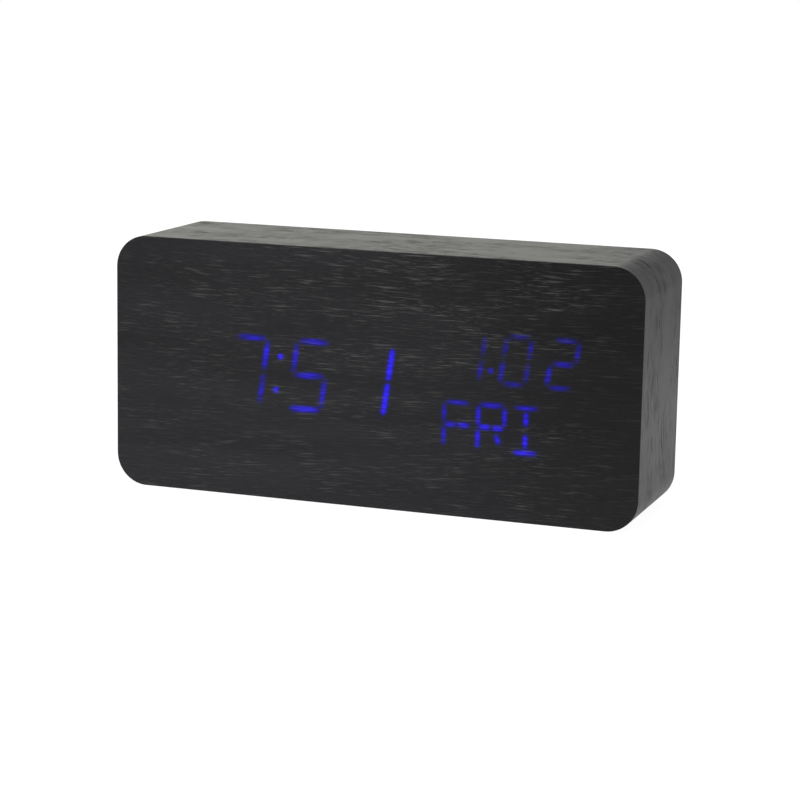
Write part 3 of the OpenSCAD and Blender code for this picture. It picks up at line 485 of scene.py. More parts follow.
readoutLook = {
    "soft": 0.5, "halo": 0.02, "haloReach": 0.65,  # mm, share, mm
    "gap": 0.4, "bridge": 0.6, "tip": 0.12,  # mm: between bars, added to half bars, past a bar's tips
    "slash": 0.62,  # share of the room between bars that the slash fills
    "mottleSeed": 31, "mottleLengths": (0.9, 1.7, 2.9), "mottleStretch": 4, "mottleLean": 0.2,  # mm, shares
    # each row in mm, its lean in degrees; lit is how wide a bar's light comes through the film
    "time": {"w": 11.0, "h": 20.2, "bar": 1.6, "lit": 1.36, "lean": 7.8, "z": 34.9},
    "date": {"w": 8.1, "h": 13.9, "bar": 1.2, "lit": 1.2, "lean": 7.8, "z": 43.4},
    "day": {"w": 8.4, "h": 13.2, "bar": 1.1, "lit": 1.12, "lean": 0.4, "z": 25.0},
    # each sign: row, middle x, brightness of its bars, spread of the light along a bar, mottling
    "signs": [
        ("time", -35.5, {"top": 0.42, "upRight": 0.64, "lowRight": 0.4}, 0.75, 0.3),
        ("time", -17.5, {
            "top": 0.49, "upLeft": 0.44, "middle": 0.51, "lowRight": 0.44, "bottom": 0.85}, 0.78, 0.3),
        ("time", 0.5, {"upRight": 0.9, "lowRight": 0.86}, 1.5, 0.05),
        ("date", 28.0, {"upRight": 0.16, "lowRight": 0.23}, 0.8, 0.5),
        ("date", 40.8, {
            "top": 0.125, "upLeft": 0.155, "upRight": 0.18, "lowLeft": 0.31, "lowRight": 0.195,
            "bottom": 0.18}, 0.85, 0.5),
        ("date", 53.6, {
            "top": 0.19, "upRight": 0.23, "middle": 0.28, "lowLeft": 0.375, "bottom": 0.205}, 0.8, 0.5),
        ("day", 24.9, {
            "top": 0.3, "highLeft": 0.32, "lowLeft": 0.4, "middleLeft": 0.51,
            "middleRight": 0.74}, 0.95, 0.4),
        ("day", 34.4, {
            "top": 0.5, "highLeft": 0.68, "highRight": 0.555, "middleLeft": 0.88, "middleRight": 0.88,
            "lowLeft": 0.66, "slash": 0.75}, 0.95, 0.35),
        ("day", 43.9, {"top": 0.39, "highMid": 0.73, "lowMid": 0.85, "bottom": 0.78}, 0.8, 0.3),
    ],
    # each dot: row, x where the row isn't leant, height above the row's middle, radius, brightness
    "dots": [
        ("time", -26.5, 4.65, 0.72, 0.72), ("time", -26.5, -4.65, 0.72, 0.72),
        ("date", 34.4, -3.175, 0.62, 0.42)],
}


def sevenBars(size, look):
    # bars of a digit as (x, z, length, direction in degrees): three level ones and four uprights
    x, z, gap = (size["w"] - size["bar"]) / 2, (size["h"] - size["bar"]) / 2, look["gap"]
    flat, tall = 2 * (x - gap), z - 2 * gap
    return {
        "top": (0, z, flat, 0), "middle": (0, 0, flat, 0), "bottom": (0, -z, flat, 0),
        "upLeft": (-x, z / 2, tall, 90), "upRight": (x, z / 2, tall, 90),
        "lowLeft": (-x, -z / 2, tall, 90), "lowRight": (x, -z / 2, tall, 90),
    }


def letterBars(size, look):
    # bars of a letter: level ones at the top and the bottom, two half bars between, uprights along three
    # columns of which the middle ones are shorter, and one slash
    x, z, gap = (size["w"] - size["bar"]) / 2, (size["h"] - size["bar"]) / 2, look["gap"]
    inset = size["bar"] / 2 + gap
    run, drop = x - 2 * inset, z - 2 * inset
    half = x - 2 * gap + look["bridge"]
    bars = {"top": (0, z, 2 * (x - gap), 0), "bottom": (0, -z, 2 * (x - gap), 0)}
    bars.update(middleLeft=(-x / 2, 0, half, 0), middleRight=(x / 2, 0, half, 0))
    for name, side, tall in (("Left", -1, z - 2 * gap), ("Mid", 0, drop), ("Right", 1, z - 2 * gap)):
        bars["high" + name] = (side * x, z / 2, tall, 90)
        bars["low" + name] = (side * x, -z / 2, tall, 90)
    slope = -math.degrees(math.atan2(drop, run))
    bars["slash"] = (x / 2, -z / 2, math.hypot(run, drop) * look["slash"], slope)
    return bars


def wavyField(x, z, seed, look):
    # smooth mottling: a sum of plane waves drawn out along the grain, from -1 to 1
    draw = np.random.default_rng(seed)
    field = np.zeros_like(x)
    for length in look["mottleLengths"]:
        phase = draw.uniform(0, 2 * math.pi, 2)
        lean = draw.uniform(-look["mottleLean"], look["mottleLean"])
        along = x / (length * look["mottleStretch"]) + lean * z / length
        field += np.sin(2 * math.pi * along + phase[0]) * np.sin(2 * math.pi * z / length + phase[1])
    return field / len(look["mottleLengths"])


def softEdge(inside, soft):
    # 0 outside, 1 inside, eased over twice the softness
    edge = np.clip((inside + soft) / (2 * soft), 0, 1)
    return edge * edge * (3 - 2 * edge)


def readoutGlow(x, z, look):
    # light on the front sheet: soft-edged bars with pointed ends, |along| + |across| <= length / 2, that are
    # brightest in their middle, exp(-(along / spread)^2), and round dots
    total = np.zeros_like(x)
    for number, (row, middle, levels, spread, mottle) in enumerate(look["signs"]):
        size = look[row]
        bars = (letterBars if row == "day" else sevenBars)(size, look)
        up = z - size["z"]
        out = x - middle - up * math.tan(math.radians(size["lean"]))
        near = np.nonzero((np.abs(out) < size["w"]) & (np.abs(up) < size["h"]))
        u, v = out[near], up[near]
        sign = np.zeros_like(u)
        for bar, bright in levels.items():
            bx, bz, length, direction = bars[bar]
            c, s = math.cos(math.radians(direction)), math.sin(math.radians(direction))
            along = np.abs((u - bx) * c + (v - bz) * s)
            across = np.abs((v - bz) * c - (u - bx) * s)
            tips = length / 2 + look["tip"] - across - along
            inside = np.minimum(size["lit"] / 2 - across, tips / math.sqrt(2))
            edge = softEdge(inside, look["soft"])
            core = np.exp(-(2 * along / length / spread) ** 2)
            halo = look["halo"] * np.exp(-np.clip(-inside, 0, None) / look["haloReach"])
            sign = np.maximum(sign, bright * (edge * core + halo * (1 - edge)))
        patchy = wavyField(x[near], z[near], look["mottleSeed"] + number, look)
        total[near] += sign * (1 + mottle * patchy)
    for row, middle, up, radius, bright in look["dots"]:
        dx = middle + up * math.tan(math.radians(look[row]["lean"]))
        dz = look[row]["z"] + up
        total += bright * softEdge(radius - np.hypot(x - dx, z - dz), look["soft"])
    return total


frontSheetSize = {
    "edge": 0.22, "rim": 5, "paintedHighlightFrom": 0.1, "spine": 40,  # mm, steps, share of the edge, mm
    # the readout's part of the grid, its steps, those of the rest, and columns close to both sides
    "lightX": (-44, 61), "lightZ": (16, 52), "fine": 0.3, "coarse": 1.6,
    "sides": (0, 0.1, 0.5, 1.5), "arc": 14,
    "grainRise": 0.033, "grainFall": 0.06, "fallFrom": 24, "fallAbove": 47, "fallEase": 8,  # slopes, mm
    "poreBase": 0.55, "poreMost": 1.2, "poreEnd": (62, 3, 0.7),  # last: x, width and share of a step
    # x, z, half width, half height in mm, added share
    "porePatches": [
        (22, 60, 38, 20, 0.65), (-20, 46, 30, 22, 0.1), (5, 12, 35, 12, 0.06), (38, 9, 24, 10, 0.33),
        (50, 42, 16, 11, -0.38)],
    # painted shade: tone at the left, a step darker to the right as above; painted bounce light added at the
    # foot
    "paintedShadeLeft": 1.02, "paintedShadeRight": (34, 12, 0.73), "paintedBounceFoot": 0.5,
}


def frontFields(points, size, block):
    # pores are thick along the top from the middle to the right, and thin out to the left, below and at the
    # right end: a base share and round patches that fade as exp(-distance squared), times a smooth step in x
    px, py, pz = points.T
    figure = np.full_like(px, size["poreBase"])
    for patchX, patchZ, wide, high, share in size["porePatches"]:
        figure += share * np.exp(-(((px - patchX) / wide) ** 2 + ((pz - patchZ) / high) ** 2))
    endX, endEase, endShare = size["poreEnd"]
    figure *= 1 - endShare * smoothTurn(px, endX, endEase)
    # the grain rises a little to the right, and falls in the upper left: the fall's slope is a smooth step
    # in x times one in z, and the grain's height is the slope's integral along x
    ease = size["fallEase"]
    bend = size["grainFall"] * ease * np.logaddexp(0, (size["fallFrom"] - px) / ease)
    bend *= smoothTurn(pz, size["fallAbove"], ease)
    bend += size["grainRise"] * px
    # painted shade, darker to the right, and painted bounce light, lighter towards the foot
    endX, endEase, endShare = size["paintedShadeRight"]
    paintedShadeAndBounce = size["paintedShadeLeft"] - endShare * smoothTurn(px, endX, endEase)
    return {
        "grain": np.stack([px, pz - bend, np.zeros_like(px)], 1),
        "figure": np.clip(figure, 0, size["poreMost"]),
        "paintedShadeAndBounce": paintedShadeAndBounce + size["paintedBounceFoot"] * (1 - pz / block["h"]) ** 2,
        # painted highlight along the film's rolled edge
        "rim": np.clip((py - block["front"]) / size["edge"] - size["paintedHighlightFrom"], 0, 1),
        "glow": np.where(py < block["front"] + hair, readoutGlow(px, pz, readoutLook), 0),
    }


def buildFrontSheet(size, block):
    # a flat grid whose rows are as wide as the rounded outline at their height,
    # x = u * halfWidth(z), with a rolled rim and a back drawn in to a line
    h, e = block["h"], size["edge"]
    w, r = block["w"] / 2 - e, block["corner"] - e
    front, back = block["front"], block["front"] + block["sheet"]
    corner = e + r * (1 - np.cos(np.linspace(0, math.pi / 2, size["arc"])))
    lx, lz, sides = size["lightX"], size["lightZ"], w - np.array(size["sides"])
    rows = np.concatenate([
        corner, stepsBetween(corner[-1], lz[0], size["coarse"])[1:], stepsBetween(*lz, size["fine"])[1:],
        stepsBetween(lz[1], h - corner[-1], size["coarse"])[1:], (h - corner[::-1])[1:]])
    columns = np.concatenate([
        -sides[:-1], stepsBetween(-sides[-1], lx[0], size["coarse"]), stepsBetween(*lx, size["fine"])[1:],
        stepsBetween(lx[1], sides[-1], size["coarse"])[1:], sides[-2::-1]]) / w
    drop = np.clip(r - np.minimum(rows - e, h - e - rows), 0, r)
    halfWidth = w - r + np.sqrt(r * r - drop * drop)
    x = columns[None] * halfWidth[:, None]
    z = np.repeat(rows[:, None], len(columns), 1)
    face = np.stack([x, np.full_like(x, front), z], 2)
    n, m = x.shape
    index = np.arange(n * m).reshape(n, m)
    ring = np.concatenate([index[0], index[1:, -1], index[-1, -2::-1], index[-2:0:-1, 0]])
    border = face.reshape(-1, 3)[ring]
    middleX, middleZ = np.clip(border[:, 0], -(w - r), w - r), np.clip(border[:, 2], e + r, h - e - r)
    facing = unit(border - np.stack([middleX, border[:, 1], middleZ], 1))
    turn = quarterTurn(size["rim"])
    rim = border[None] + facing[None] * e * np.sin(turn)[:, None, None]
    rim[:, :, 1] = front + e * (1 - np.cos(turn))[:, None]
    foot = rim[-1:].copy()
    foot[:, :, 1] = back
    spineX = np.clip(border[:, 0], -size["spine"], size["spine"])
    spine = np.stack([spineX, np.full(len(ring), back), np.full(len(ring), h / 2)], 1)[None]
    rings = np.concatenate([rim, foot, spine])
    points = np.concatenate([face.reshape(-1, 3), rings.reshape(-1, 3)])
    sleeve = gridQuads(len(rings), len(ring), loopColumns=True, first=n * m)
    quads = np.concatenate([gridQuads(n, m), sleeve])
    makePiece(
        "front_sheet", points, quads, [frontWood], "clock_case", "front_wood", "front_veneer",
        frontFields(points, size, block))


buildFrontSheet(frontSheetSize, blockSize)
print("stage: front sheet with its readout")

bandSize = {
    # mm: rolled edge and its steps, a flat strip beside it, wider strips between
    "edge": 0.06, "roll": 3, "hold": 0.1, "step": 6.5,
    "seam": -45, "seamGap": 0.2,  # mm: where along X it is, its width
    "arc": 20, "level": 60, "upright": 24, "slice": 40,  # points along the outline, slice of the noise
}


def buildBand(size, block):
    # a thin closed section carried once round the block, from one side of the seam to the other
    sides = (size["arc"], size["level"], size["upright"])
    outline, normals = roundedOutline(block["w"], block["h"], block["corner"], *sides)
    outline = outline + np.array([0, block["h"] / 2])
    under = (outline[:, 1] < hair) & (outline[:, 0] > size["seam"])
    first = int(np.nonzero(under)[0][np.argmin(outline[under, 0])])
    outline, normals = np.roll(outline, -first, 0), np.roll(normals, -first, 0)
    half = size["seamGap"] / 2
    ends = np.array([[size["seam"] + half, 0.0], [size["seam"] - half, 0.0]])
    down = np.array([[0.0, -1.0]])
    outline = np.concatenate([ends[:1], outline, ends[1:]])
    normals = np.concatenate([down, normals, down])
    length = np.concatenate([[0], np.cumsum(np.linalg.norm(np.diff(outline, axis=0), axis=1))])
    front, back = block["front"] + block["sheet"], block["back"] - block["sheet"]
    e, t = size["edge"], block["sheet"]
    turn = quarterTurn(size["roll"])
    rise = np.stack([e - e * np.sin(turn), front + e - e * np.cos(turn)], 1)
    fall = np.stack([rise[::-1, 0], front + back - rise[::-1, 1]], 1)
    inset = e + size["hold"]
    across = stepsBetween(front + inset, back - inset, size["step"])
    outer = np.stack([np.zeros_like(across), across], 1)
    profile = np.concatenate([[[t, front]], rise, outer, fall, [[t, back]]])
    flat = outline[:, None] - normals[:, None] * profile[None, :, :1]
    n, m = flat.shape[:2]
    y = np.repeat(profile[None, :, 1], n, 0)
    points = np.stack([flat[:, :, 0], y, flat[:, :, 1]], 2).reshape(-1, 3)
    grain = np.stack([np.repeat(length[:, None], m, 1), y, np.full((n, m), size["slice"])], 2)
    makePiece(
        "wrap_band", points, gridQuads(n, m, loopColumns=True), [bandWoodPaintedLight], "clock_case", "wrap_wood",
        "wrap_veneer", {"grain": grain.reshape(-1, 3)}, extra=endCaps(n, m))


buildBand(bandSize, blockSize)

backSheetSize = {
    "panelGap": 0.25, "holeCorner": 6.25, "edge": 0.12, "roll": 4,  # mm, steps
    "shares": (0.02, 0.3, 0.7, 0.98),  # where rings lie between the outline and the opening
    "arc": 16, "level": 50, "upright": 20, "slice": 80,  # as for the band
}


def buildBackSheet(size, block):
    # a section carried round the outer outline and the opening's at once, drawn between the two
    sides = (size["arc"], size["level"], size["upright"])
    outer, outFacing = roundedOutline(block["w"], block["h"], block["corner"], *sides)
    panelLow, panelHigh = nodeBox("rear_panel")
    wide, _, tall = panelHigh - panelLow + 2 * size["panelGap"]
    inner, inFacing = roundedOutline(wide, tall, size["holeCorner"], *sides)
    e, low, high = size["edge"], block["back"] - block["sheet"], block["back"]
    turn = quarterTurn(size["roll"])
    rings, depths = [outer], [low]
    for angle in turn:
        rings.append(outer - outFacing * e * (1 - math.cos(angle)))
        depths.append(high - e * (1 - math.sin(angle)))
    for share in size["shares"]:
        rings.append(outer + (inner - outer) * share)
        depths.append(high)
    for angle in turn[::-1]:
        rings.append(inner + inFacing * e * (1 - math.cos(angle)))
        depths.append(high - e * (1 - math.sin(angle)))
    rings = np.array(rings + [inner])
    n, m = rings.shape[:2]
    y = np.repeat(np.array(depths + [low])[:, None], m, 1)
    points = np.stack([rings[:, :, 0], y, rings[:, :, 1] + block["h"] / 2], 2).reshape(-1, 3)
    fields = {"grain": np.stack([points[:, 0], points[:, 2], np.full(n * m, size["slice"])], 1)}
    quads = gridQuads(n, m, loopRows=True, loopColumns=True)
    makePiece("back_sheet", points, quads, [bandWoodPaintedLight], "clock_case", "wrap_wood", "back_veneer", fields)


buildBackSheet(backSheetSize, blockSize)
print("stage: wood sheets")

# finishes of the plastic, metal and board pieces; scales are per m, depths in mm

plasticLook = {
    "clouds": 70.0, "cloudTone": 0.25, "gritTone": 0.75, "toneSpan": (0.4, 0.6),
    "cloudRough": -0.05, "gritRough": 0.1,
}


def mouldedPlastic(name, colour, rough, skin=0.004, pitch=3200.0, speckle=0.2, look=plasticLook):
    # slow clouds in tone and gloss, and an eroded skin with its own speckle; skin is its depth,
    # speckle the share that the tone varies by
    finish, tree, shader = newFinish(name)
    spot = objectSpot(tree)
    clouds = noise(tree, spot, look["clouds"], detail=3)
    grit = noise(tree, spot, pitch)
    dark, light = (tuple(min(1.0, c * share) for c in colour) + (1,) for share in (1 - speckle, 1 + speckle))
    slow = calc(tree, "MULTIPLY", clouds, look["cloudTone"])
    tone = calc(tree, "ADD", slow, calc(tree, "MULTIPLY", grit, look["gritTone"]))
    patchy = graded(tree, clouds, rough + look["cloudRough"], rough)
    patchy = calc(tree, "ADD", patchy, calc(tree, "MULTIPLY", grit, look["gritRough"]))
    paint = mixColour(tree, ramp(tree, tone, *look["toneSpan"]), dark, light)
    drive(tree, shader, Base_Color=paint, Roughness=patchy, Normal=bump(tree, grit, skin))
    return finish


metalLook = {
    "lines": 2200.0, "lineRough": 0.12, "lineDepth": 0.003,
    "dull": 260.0, "dullSpan": (0.35, 0.7), "dullTone": 0.75, "dullRough": (-0.06, 0.1),
}


def drawnMetal(name, colour, rough, along=(1, 1, 1), look=metalLook):
    # fine lines drawn out along one direction, and dull patches
    finish, tree, shader = newFinish(name, Metallic=1.0)
    spot = objectSpot(tree)
    lines = noise(tree, stretch(tree, spot, along), look["lines"], detail=3)
    dull = noise(tree, spot, look["dull"], detail=3)
    dark = tuple(c * look["dullTone"] for c in colour[:3]) + (1,)
    worn = graded(tree, dull, *(rough + change for change in look["dullRough"]))
    worn = calc(tree, "ADD", worn, calc(tree, "MULTIPLY", lines, look["lineRough"]))
    paint = mixColour(tree, ramp(tree, dull, *look["dullSpan"]), dark, colour)
    drive(tree, shader, Base_Color=paint, Roughness=worn, Normal=bump(tree, lines, look["lineDepth"]))
    return finish


boardLook = {
    "cells": 230.0, "copperEdge": (0.05, 0.09), "pads": 150.0, "tinEdge": (0.10, 0.14), "weave": 900.0,
    "green": ((0.006, 0.05, 0.022, 1), (0.01, 0.075, 0.03, 1)), "copper": (0.025, 0.13, 0.05, 1),
    "tin": (0.55, 0.55, 0.52, 1), "tinMetal": 0.9, "rough": (0.3, 0.42), "relief": 0.02,
}


def solderedBoard(name, look):
    # green lacquer over copper lines that follow cell edges, with bare tinned spots in some cells
    finish, tree, shader = newFinish(name)
    flat = stretch(tree, objectSpot(tree), (1, 0, 1))
    cells, pads = ({"Vector": flat, "Scale": look[key]} for key in ("cells", "pads"))
    edges = addNode(tree, "TexVoronoi", cells, feature="DISTANCE_TO_EDGE").outputs["Distance"]
    copper = ramp(tree, edges, *look["copperEdge"], 1, 0)
    middles = addNode(tree, "TexVoronoi", pads, feature="F1", distance="MANHATTAN").outputs["Distance"]
    tin = ramp(tree, middles, *look["tinEdge"], 1, 0)
    weave = noise(tree, flat, look["weave"])
    paint = mixColour(tree, weave, *look["green"])
    paint = mixColour(tree, copper, paint, look["copper"])
    drive(
        tree, shader, Base_Color=mixColour(tree, tin, paint, look["tin"]),
        Metallic=ramp(tree, tin, 0, 1, 0.0, look["tinMetal"]), Roughness=graded(tree, weave, *look["rough"]),
        Normal=bump(tree, calc(tree, "ADD", copper, tin), look["relief"]))
    return finish


fibreLook = {
    "rough": 0.85, "stretch": (1, 3, 1.6), "fibres": 700.0, "fibreGrit": 0.65, "relief": 0.08,
    "brown": ((0.13, 0.075, 0.035, 1), (0.36, 0.24, 0.13, 1)),
    "flecks": 1900.0, "fleckEdge": (0.62, 0.7), "fleck": (0.06, 0.035, 0.02, 1),
}


def pressedFibre(name, look):
    # brown fibres pressed flat, with dark flecks
    finish, tree, shader = newFinish(name, Roughness=look["rough"])
    spot = objectSpot(tree)
    pressed = stretch(tree, spot, look["stretch"])
    fibres = noise(tree, pressed, look["fibres"], detail=5, roughness=look["fibreGrit"])
    flecks = noise(tree, spot, look["flecks"])
    paint = mixColour(tree, graded(tree, fibres, 0, 1), *look["brown"])
    paint = mixColour(tree, ramp(tree, flecks, *look["fleckEdge"]), paint, look["fleck"])
    drive(tree, shader, Base_Color=paint, Normal=bump(tree, fibres, look["relief"]))
    return finish


chipLook = {
    # mm that the legs reach out; roughness of the body, then of the legs
    "legs": 1.39, "grit": 2600.0, "skin": 0.006, "rough": (0.55, 0.3),
    "black": ((0.008, 0.008, 0.009, 1), (0.02, 0.02, 0.021, 1)), "tin": (0.6, 0.6, 0.58, 1),
}


def leadedChip(name, node, look):
    # black moulded body, and tinned legs where the piece reaches past its body's half height
    low, high = nodeBox(node)
    middle, half = (low[2] + high[2]) / 2, (high[2] - low[2]) / 2 - look["legs"]
    finish, tree, shader = newFinish(name)
    spot = objectSpot(tree)
    place = addNode(tree, "SeparateXYZ", {0: spot}).outputs["Z"]
    out = calc(tree, "ABSOLUTE", calc(tree, "SUBTRACT", place, middle * mm))
    legs = calc(tree, "GREATER_THAN", out, half * mm)
    grit = noise(tree, spot, look["grit"])
    black = mixColour(tree, grit, *look["black"])
    drive(
        tree, shader, Base_Color=mixColour(tree, legs, black, look["tin"]), Metallic=legs,
        Roughness=ramp(tree, legs, 0, 1, *look["rough"]), Normal=bump(tree, grit, look["skin"]))
    return finish


lightLook = {
    "clouds": 2500.0, "pale": ((0.35, 0.4, 0.6, 1), (0.6, 0.65, 0.8, 1)), "rough": 0.4,
    "light": (0.02, 0.02, 1.0, 1), "level": (0.4, 0.9),
}


def litChips(name, look):
    # pale moulded chips with a patchy blue glow
    finish, tree, shader = newFinish(name, Roughness=look["rough"], Emission_Color=look["light"])
    clouds = noise(tree, objectSpot(tree), look["clouds"])
    drive(
        tree, shader, Base_Color=mixColour(tree, clouds, *look["pale"]),
        Emission_Strength=graded(tree, clouds, *look["level"]))
    return finish


# colour, roughness, and where they differ the skin's depth, pitch and speckle
panelPlastic = mouldedPlastic("panelPlastic", (0.018, 0.018, 0.019), 0.5, 0.04, 1200.0, 0.42)
doorPlastic = mouldedPlastic("doorPlastic", (0.021, 0.021, 0.022), 0.47, 0.04, 1200.0, 0.42)
buttonPlastic = mouldedPlastic("buttonPlastic", (0.05, 0.05, 0.053), 0.4, 0.003, 4200.0)
signPrint = mouldedPlastic("signPrint", (0.5, 0.5, 0.49), 0.55, 0.002)
creamPlastic = mouldedPlastic("creamPlastic", (0.72, 0.68, 0.56), 0.45)
whitePlastic = mouldedPlastic("whitePlastic", (0.74, 0.74, 0.72), 0.5)
milkyFilm = mouldedPlastic("milkyFilm", (0.8, 0.8, 0.8), 0.6, 0.002, 5200.0)
blackMould = mouldedPlastic("blackMould", (0.014, 0.014, 0.015), 0.5)
greenBead = mouldedPlastic("greenBead", (0.03, 0.11, 0.06), 0.25)
capacitorSleeve = mouldedPlastic("capacitorSleeve", (0.02, 0.035, 0.06), 0.3)
# colour, roughness, and the stretch of the lines where they have a direction
blackSteel = drawnMetal("blackSteel", (0.09, 0.09, 0.095, 1), 0.42)
zincSteel = drawnMetal("zincSteel", (0.62, 0.63, 0.64, 1), 0.32)
nickelSheet = drawnMetal("nickelSheet", (0.72, 0.69, 0.62, 1), 0.26, (0.12, 1, 1))
springSteel = drawnMetal("springSteel", (0.70, 0.70, 0.71, 1), 0.24)
shellSteel = drawnMetal("shellSteel", (0.66, 0.67, 0.68, 1), 0.3, (1, 0.1, 1))
boardLacquer = solderedBoard("boardLacquer", boardLook)

nodeFinishes = {
    "case_core": pressedFibre("pressedFibre", fibreLook), "diffuser_film": milkyFilm,
    "segment_mask": whitePlastic, "display_leds": litChips("litChips", lightLook),
    "display_board": boardLacquer, "control_board": boardLacquer,
    "display_screws": zincSteel, "control_screws": zincSteel, "panel_screws": blackSteel,
    "driver_chip": leadedChip("driverChip", "driver_chip", chipLook),
    "control_chip": leadedChip("controlChip", "control_chip", chipLook),
    "display_connector": creamPlastic, "control_connector": creamPlastic,
    "contact_plates": nickelSheet, "clock_crystal": shellSteel, "filter_capacitors": capacitorSleeve,
    "set_plunger": blackMould, "up_plunger": blackMould, "down_plunger": blackMould,
    "set_switch": shellSteel, "up_switch": shellSteel, "down_switch": shellSteel,
    "buzzer": blackMould, "microphone": shellSteel, "temperature_sensor": greenBead,
    "power_port": shellSteel, "power_port_tongue": blackMould,
}
for node, finish in nodeFinishes.items():
    cadNodes[node].data.materials.clear()
    cadNodes[node].data.materials.append(finish)
print("stage: finishes on", len(nodeFinishes), "nodes")

# rear panel, door and buttons

softEdges = {
    "rear_panel": 0.18, "battery_door": 0.22, "steps": 2,  # mm that an edge rolls over
    "merge": 2e-3, "flat": 0.5, "sharp": 35, "rollFrom": 38,  # mm, then degrees
}


def softenedCopy(name, node, finish, body, size):
    # the node's own shape, merged, with its flat faces joined and its edges rolled over
    mesh = cadNodes[node].data.copy()
    mesh.name = name
    if "custom_normal" in mesh.attributes:
        mesh.attributes.remove(mesh.attributes["custom_normal"])
    shape = bmesh.new()
    shape.from_mesh(mesh)
    bmesh.ops.remove_doubles(shape, verts=shape.verts, dist=size["merge"] * mm)
    flat = math.radians(size["flat"])
    bmesh.ops.dissolve_limit(shape, angle_limit=flat, verts=shape.verts, edges=shape.edges)
    shape.to_mesh(mesh)
    shape.free()
    mesh.materials.clear()
    mesh.materials.append(finish)
    piece = placePiece(name, mesh, size["sharp"], body, node)
    roll = piece.modifiers.new("rolledEdges", "BEVEL")
    roll.width, roll.segments, roll.limit_method = size[node] * mm, size["steps"], "ANGLE"
    roll.angle_limit, roll.harden_normals = math.radians(size["rollFrom"]), True


softenedCopy("back_panel", "rear_panel", panelPlastic, "clock_case", softEdges)
softenedCopy("cell_door", "battery_door", doorPlastic, "battery_door", softEdges)

buttonSize = {
    "w": 9.5, "h": 5.5, "r": 2.4, "arc": 8, "level": 6, "upright": 2,  # mm, points along the outline
    "rim": 0.9, "rimThick": 1.0, "rimFoot": 0.15, "rimTop": 0.1,  # mm: flange, and its two broken edges
    "edge": 0.35, "roll": 5, "crown": [(0, 0.06), (1.2, 0.015), (2.2, 0.0)],  # last: inset, mm below the top
    "signRise": 0.07, "signRoot": 0.15, "signEdge": (0.05, 0.04), "signReach": 1.15,
    # shares of the sign's reach, and mm that an arrow's corners are rounded by
    "dot": 0.8, "dotAround": 32, "arrowFoot": 0.6, "arrowTip": 0.9, "arrowRound": 0.15,
}


def roundedPolygon(corners, r, arc=5):
    # a circle of radius r carried round a convex polygon: an arc at each corner, straight between
    edges = np.roll(corners, -1, 0) - corners
    facing = np.arctan2(-edges[:, 0], edges[:, 1])
    spots, normals = [], []
    for k, corner in enumerate(corners):
        start, end = facing[k - 1], facing[k]
        end += 2 * math.pi if end < start else 0
        angle = np.linspace(start, end, arc + 1)
        normal = np.stack([np.cos(angle), np.sin(angle)], 1)
        spots.append(corner + r * normal)
        normals.append(normal)
    return np.concatenate(spots), np.concatenate(normals)


def buttonSign(which, size):
    # outline and normals of a dot, or of an arrow that points up or down
    reach = size["signReach"]
    if which == "set":
        angle = fullTurn(size["dotAround"])
        facing = np.stack([np.cos(angle), np.sin(angle)], 1)
        return facing * reach * size["dot"], facing
    tip = 1 if which == "up" else -1
    foot = -tip * reach * size["arrowFoot"]
    corners = np.array([(-reach, foot), (reach, foot), (0, tip * reach * size["arrowTip"])])
    return roundedPolygon(corners[::tip], size["arrowRound"])


def buildButton(which, size):
    # rim and cap as one profile round the cap's outline; the sign on top is a low raised shape of its own
    sides = (size["arc"], size["level"], size["upright"])
    outline, normals = roundedOutline(size["w"], size["h"], size["r"], *sides)
    low, high = nodeBox(which + "_button")
    centre = ((low[0] + high[0]) / 2, (low[2] + high[2]) / 2)
    e, back, crest = size["edge"], low[1], high[1]
    top = crest - size["signRise"]
    crown = [(inset, top - below) for inset, below in size["crown"]]
    turn = quarterTurn(size["roll"])
    roll = np.stack([e * (1 - np.cos(turn)), crown[0][1] - e * (1 - np.sin(turn))], 1)
    rim, ledge, footBreak, topBreak = -size["rim"], back + size["rimThick"], size["rimFoot"], size["rimTop"]
    flange = [
        (rim + footBreak, back), (rim, back + footBreak), (rim, ledge - topBreak), (rim + topBreak, ledge),
        (0.0, ledge)]
    cap = sweptRings(outline, normals, np.concatenate([flange, roll, crown[1:]]), centre)
    inset, fall = size["signEdge"]
    raised = [(0.0, top - size["signRoot"]), (0.0, crest - fall), (inset, crest)]
    sign = sweptRings(*buttonSign(which, size), raised, centre)
    points, quads = joined([cap, sign])
    paint = np.repeat([0, 1], [len(cap[1]), len(sign[1])])
    makePiece(
        which + "_key", points, quads, [buttonPlastic, signPrint], which + "_button", "button_plastic",
        which + "_button", paint=paint)


for which in ("set", "up", "down"):
    buildButton(which, buttonSize)
print("stage: rear panel, door and buttons")

# cells, springs and wires

cellSize = {
    "around": 56, "tipTo": [-1, 1, -1, 1],  # which way along X each cell's cap points
    # radii at distances from the cap's end, in mm
    "cap": [(0, 0), (0, 1.5), (0.06, 1.72), (0.2, 1.85), (0.85, 1.9), (1.0, 2.05)],
    "topPlate": [(1.02, 3.6), (1.1, 4.1), (1.2, 4.3)],
    "shoulder": [(1.02, 4.4), (1.0, 4.62), (1.06, 4.85), (1.25, 5.08), (1.6, 5.2)],
    "straight": [2.2, 6, 12, 24, 36],
    # and at distances from the other end
    "straightEnd": 1.6,
    "heel": [(0.9, 5.2), (0.5, 5.05), (0.3, 4.8), (0.28, 4.6)],
    "foot": [(0.4, 4.45), (0.42, 4.0), (0.2, 3.6), (0, 3.3), (0, 0)],
}
sleeveLook = {
    "coat": 0.5, "coatRough": 0.2, "rough": (0.26, 0.36), "clouds": 300.0, "ripple": 0.02,
    "slate": ((0.018, 0.035, 0.05, 1), (0.024, 0.045, 0.062, 1)), "print": (0.55, 0.56, 0.55, 1),
    "rings": [(9.0, 11.0), (11.8, 12.3)], "blur": 0.1,  # mm from the cap's end
}


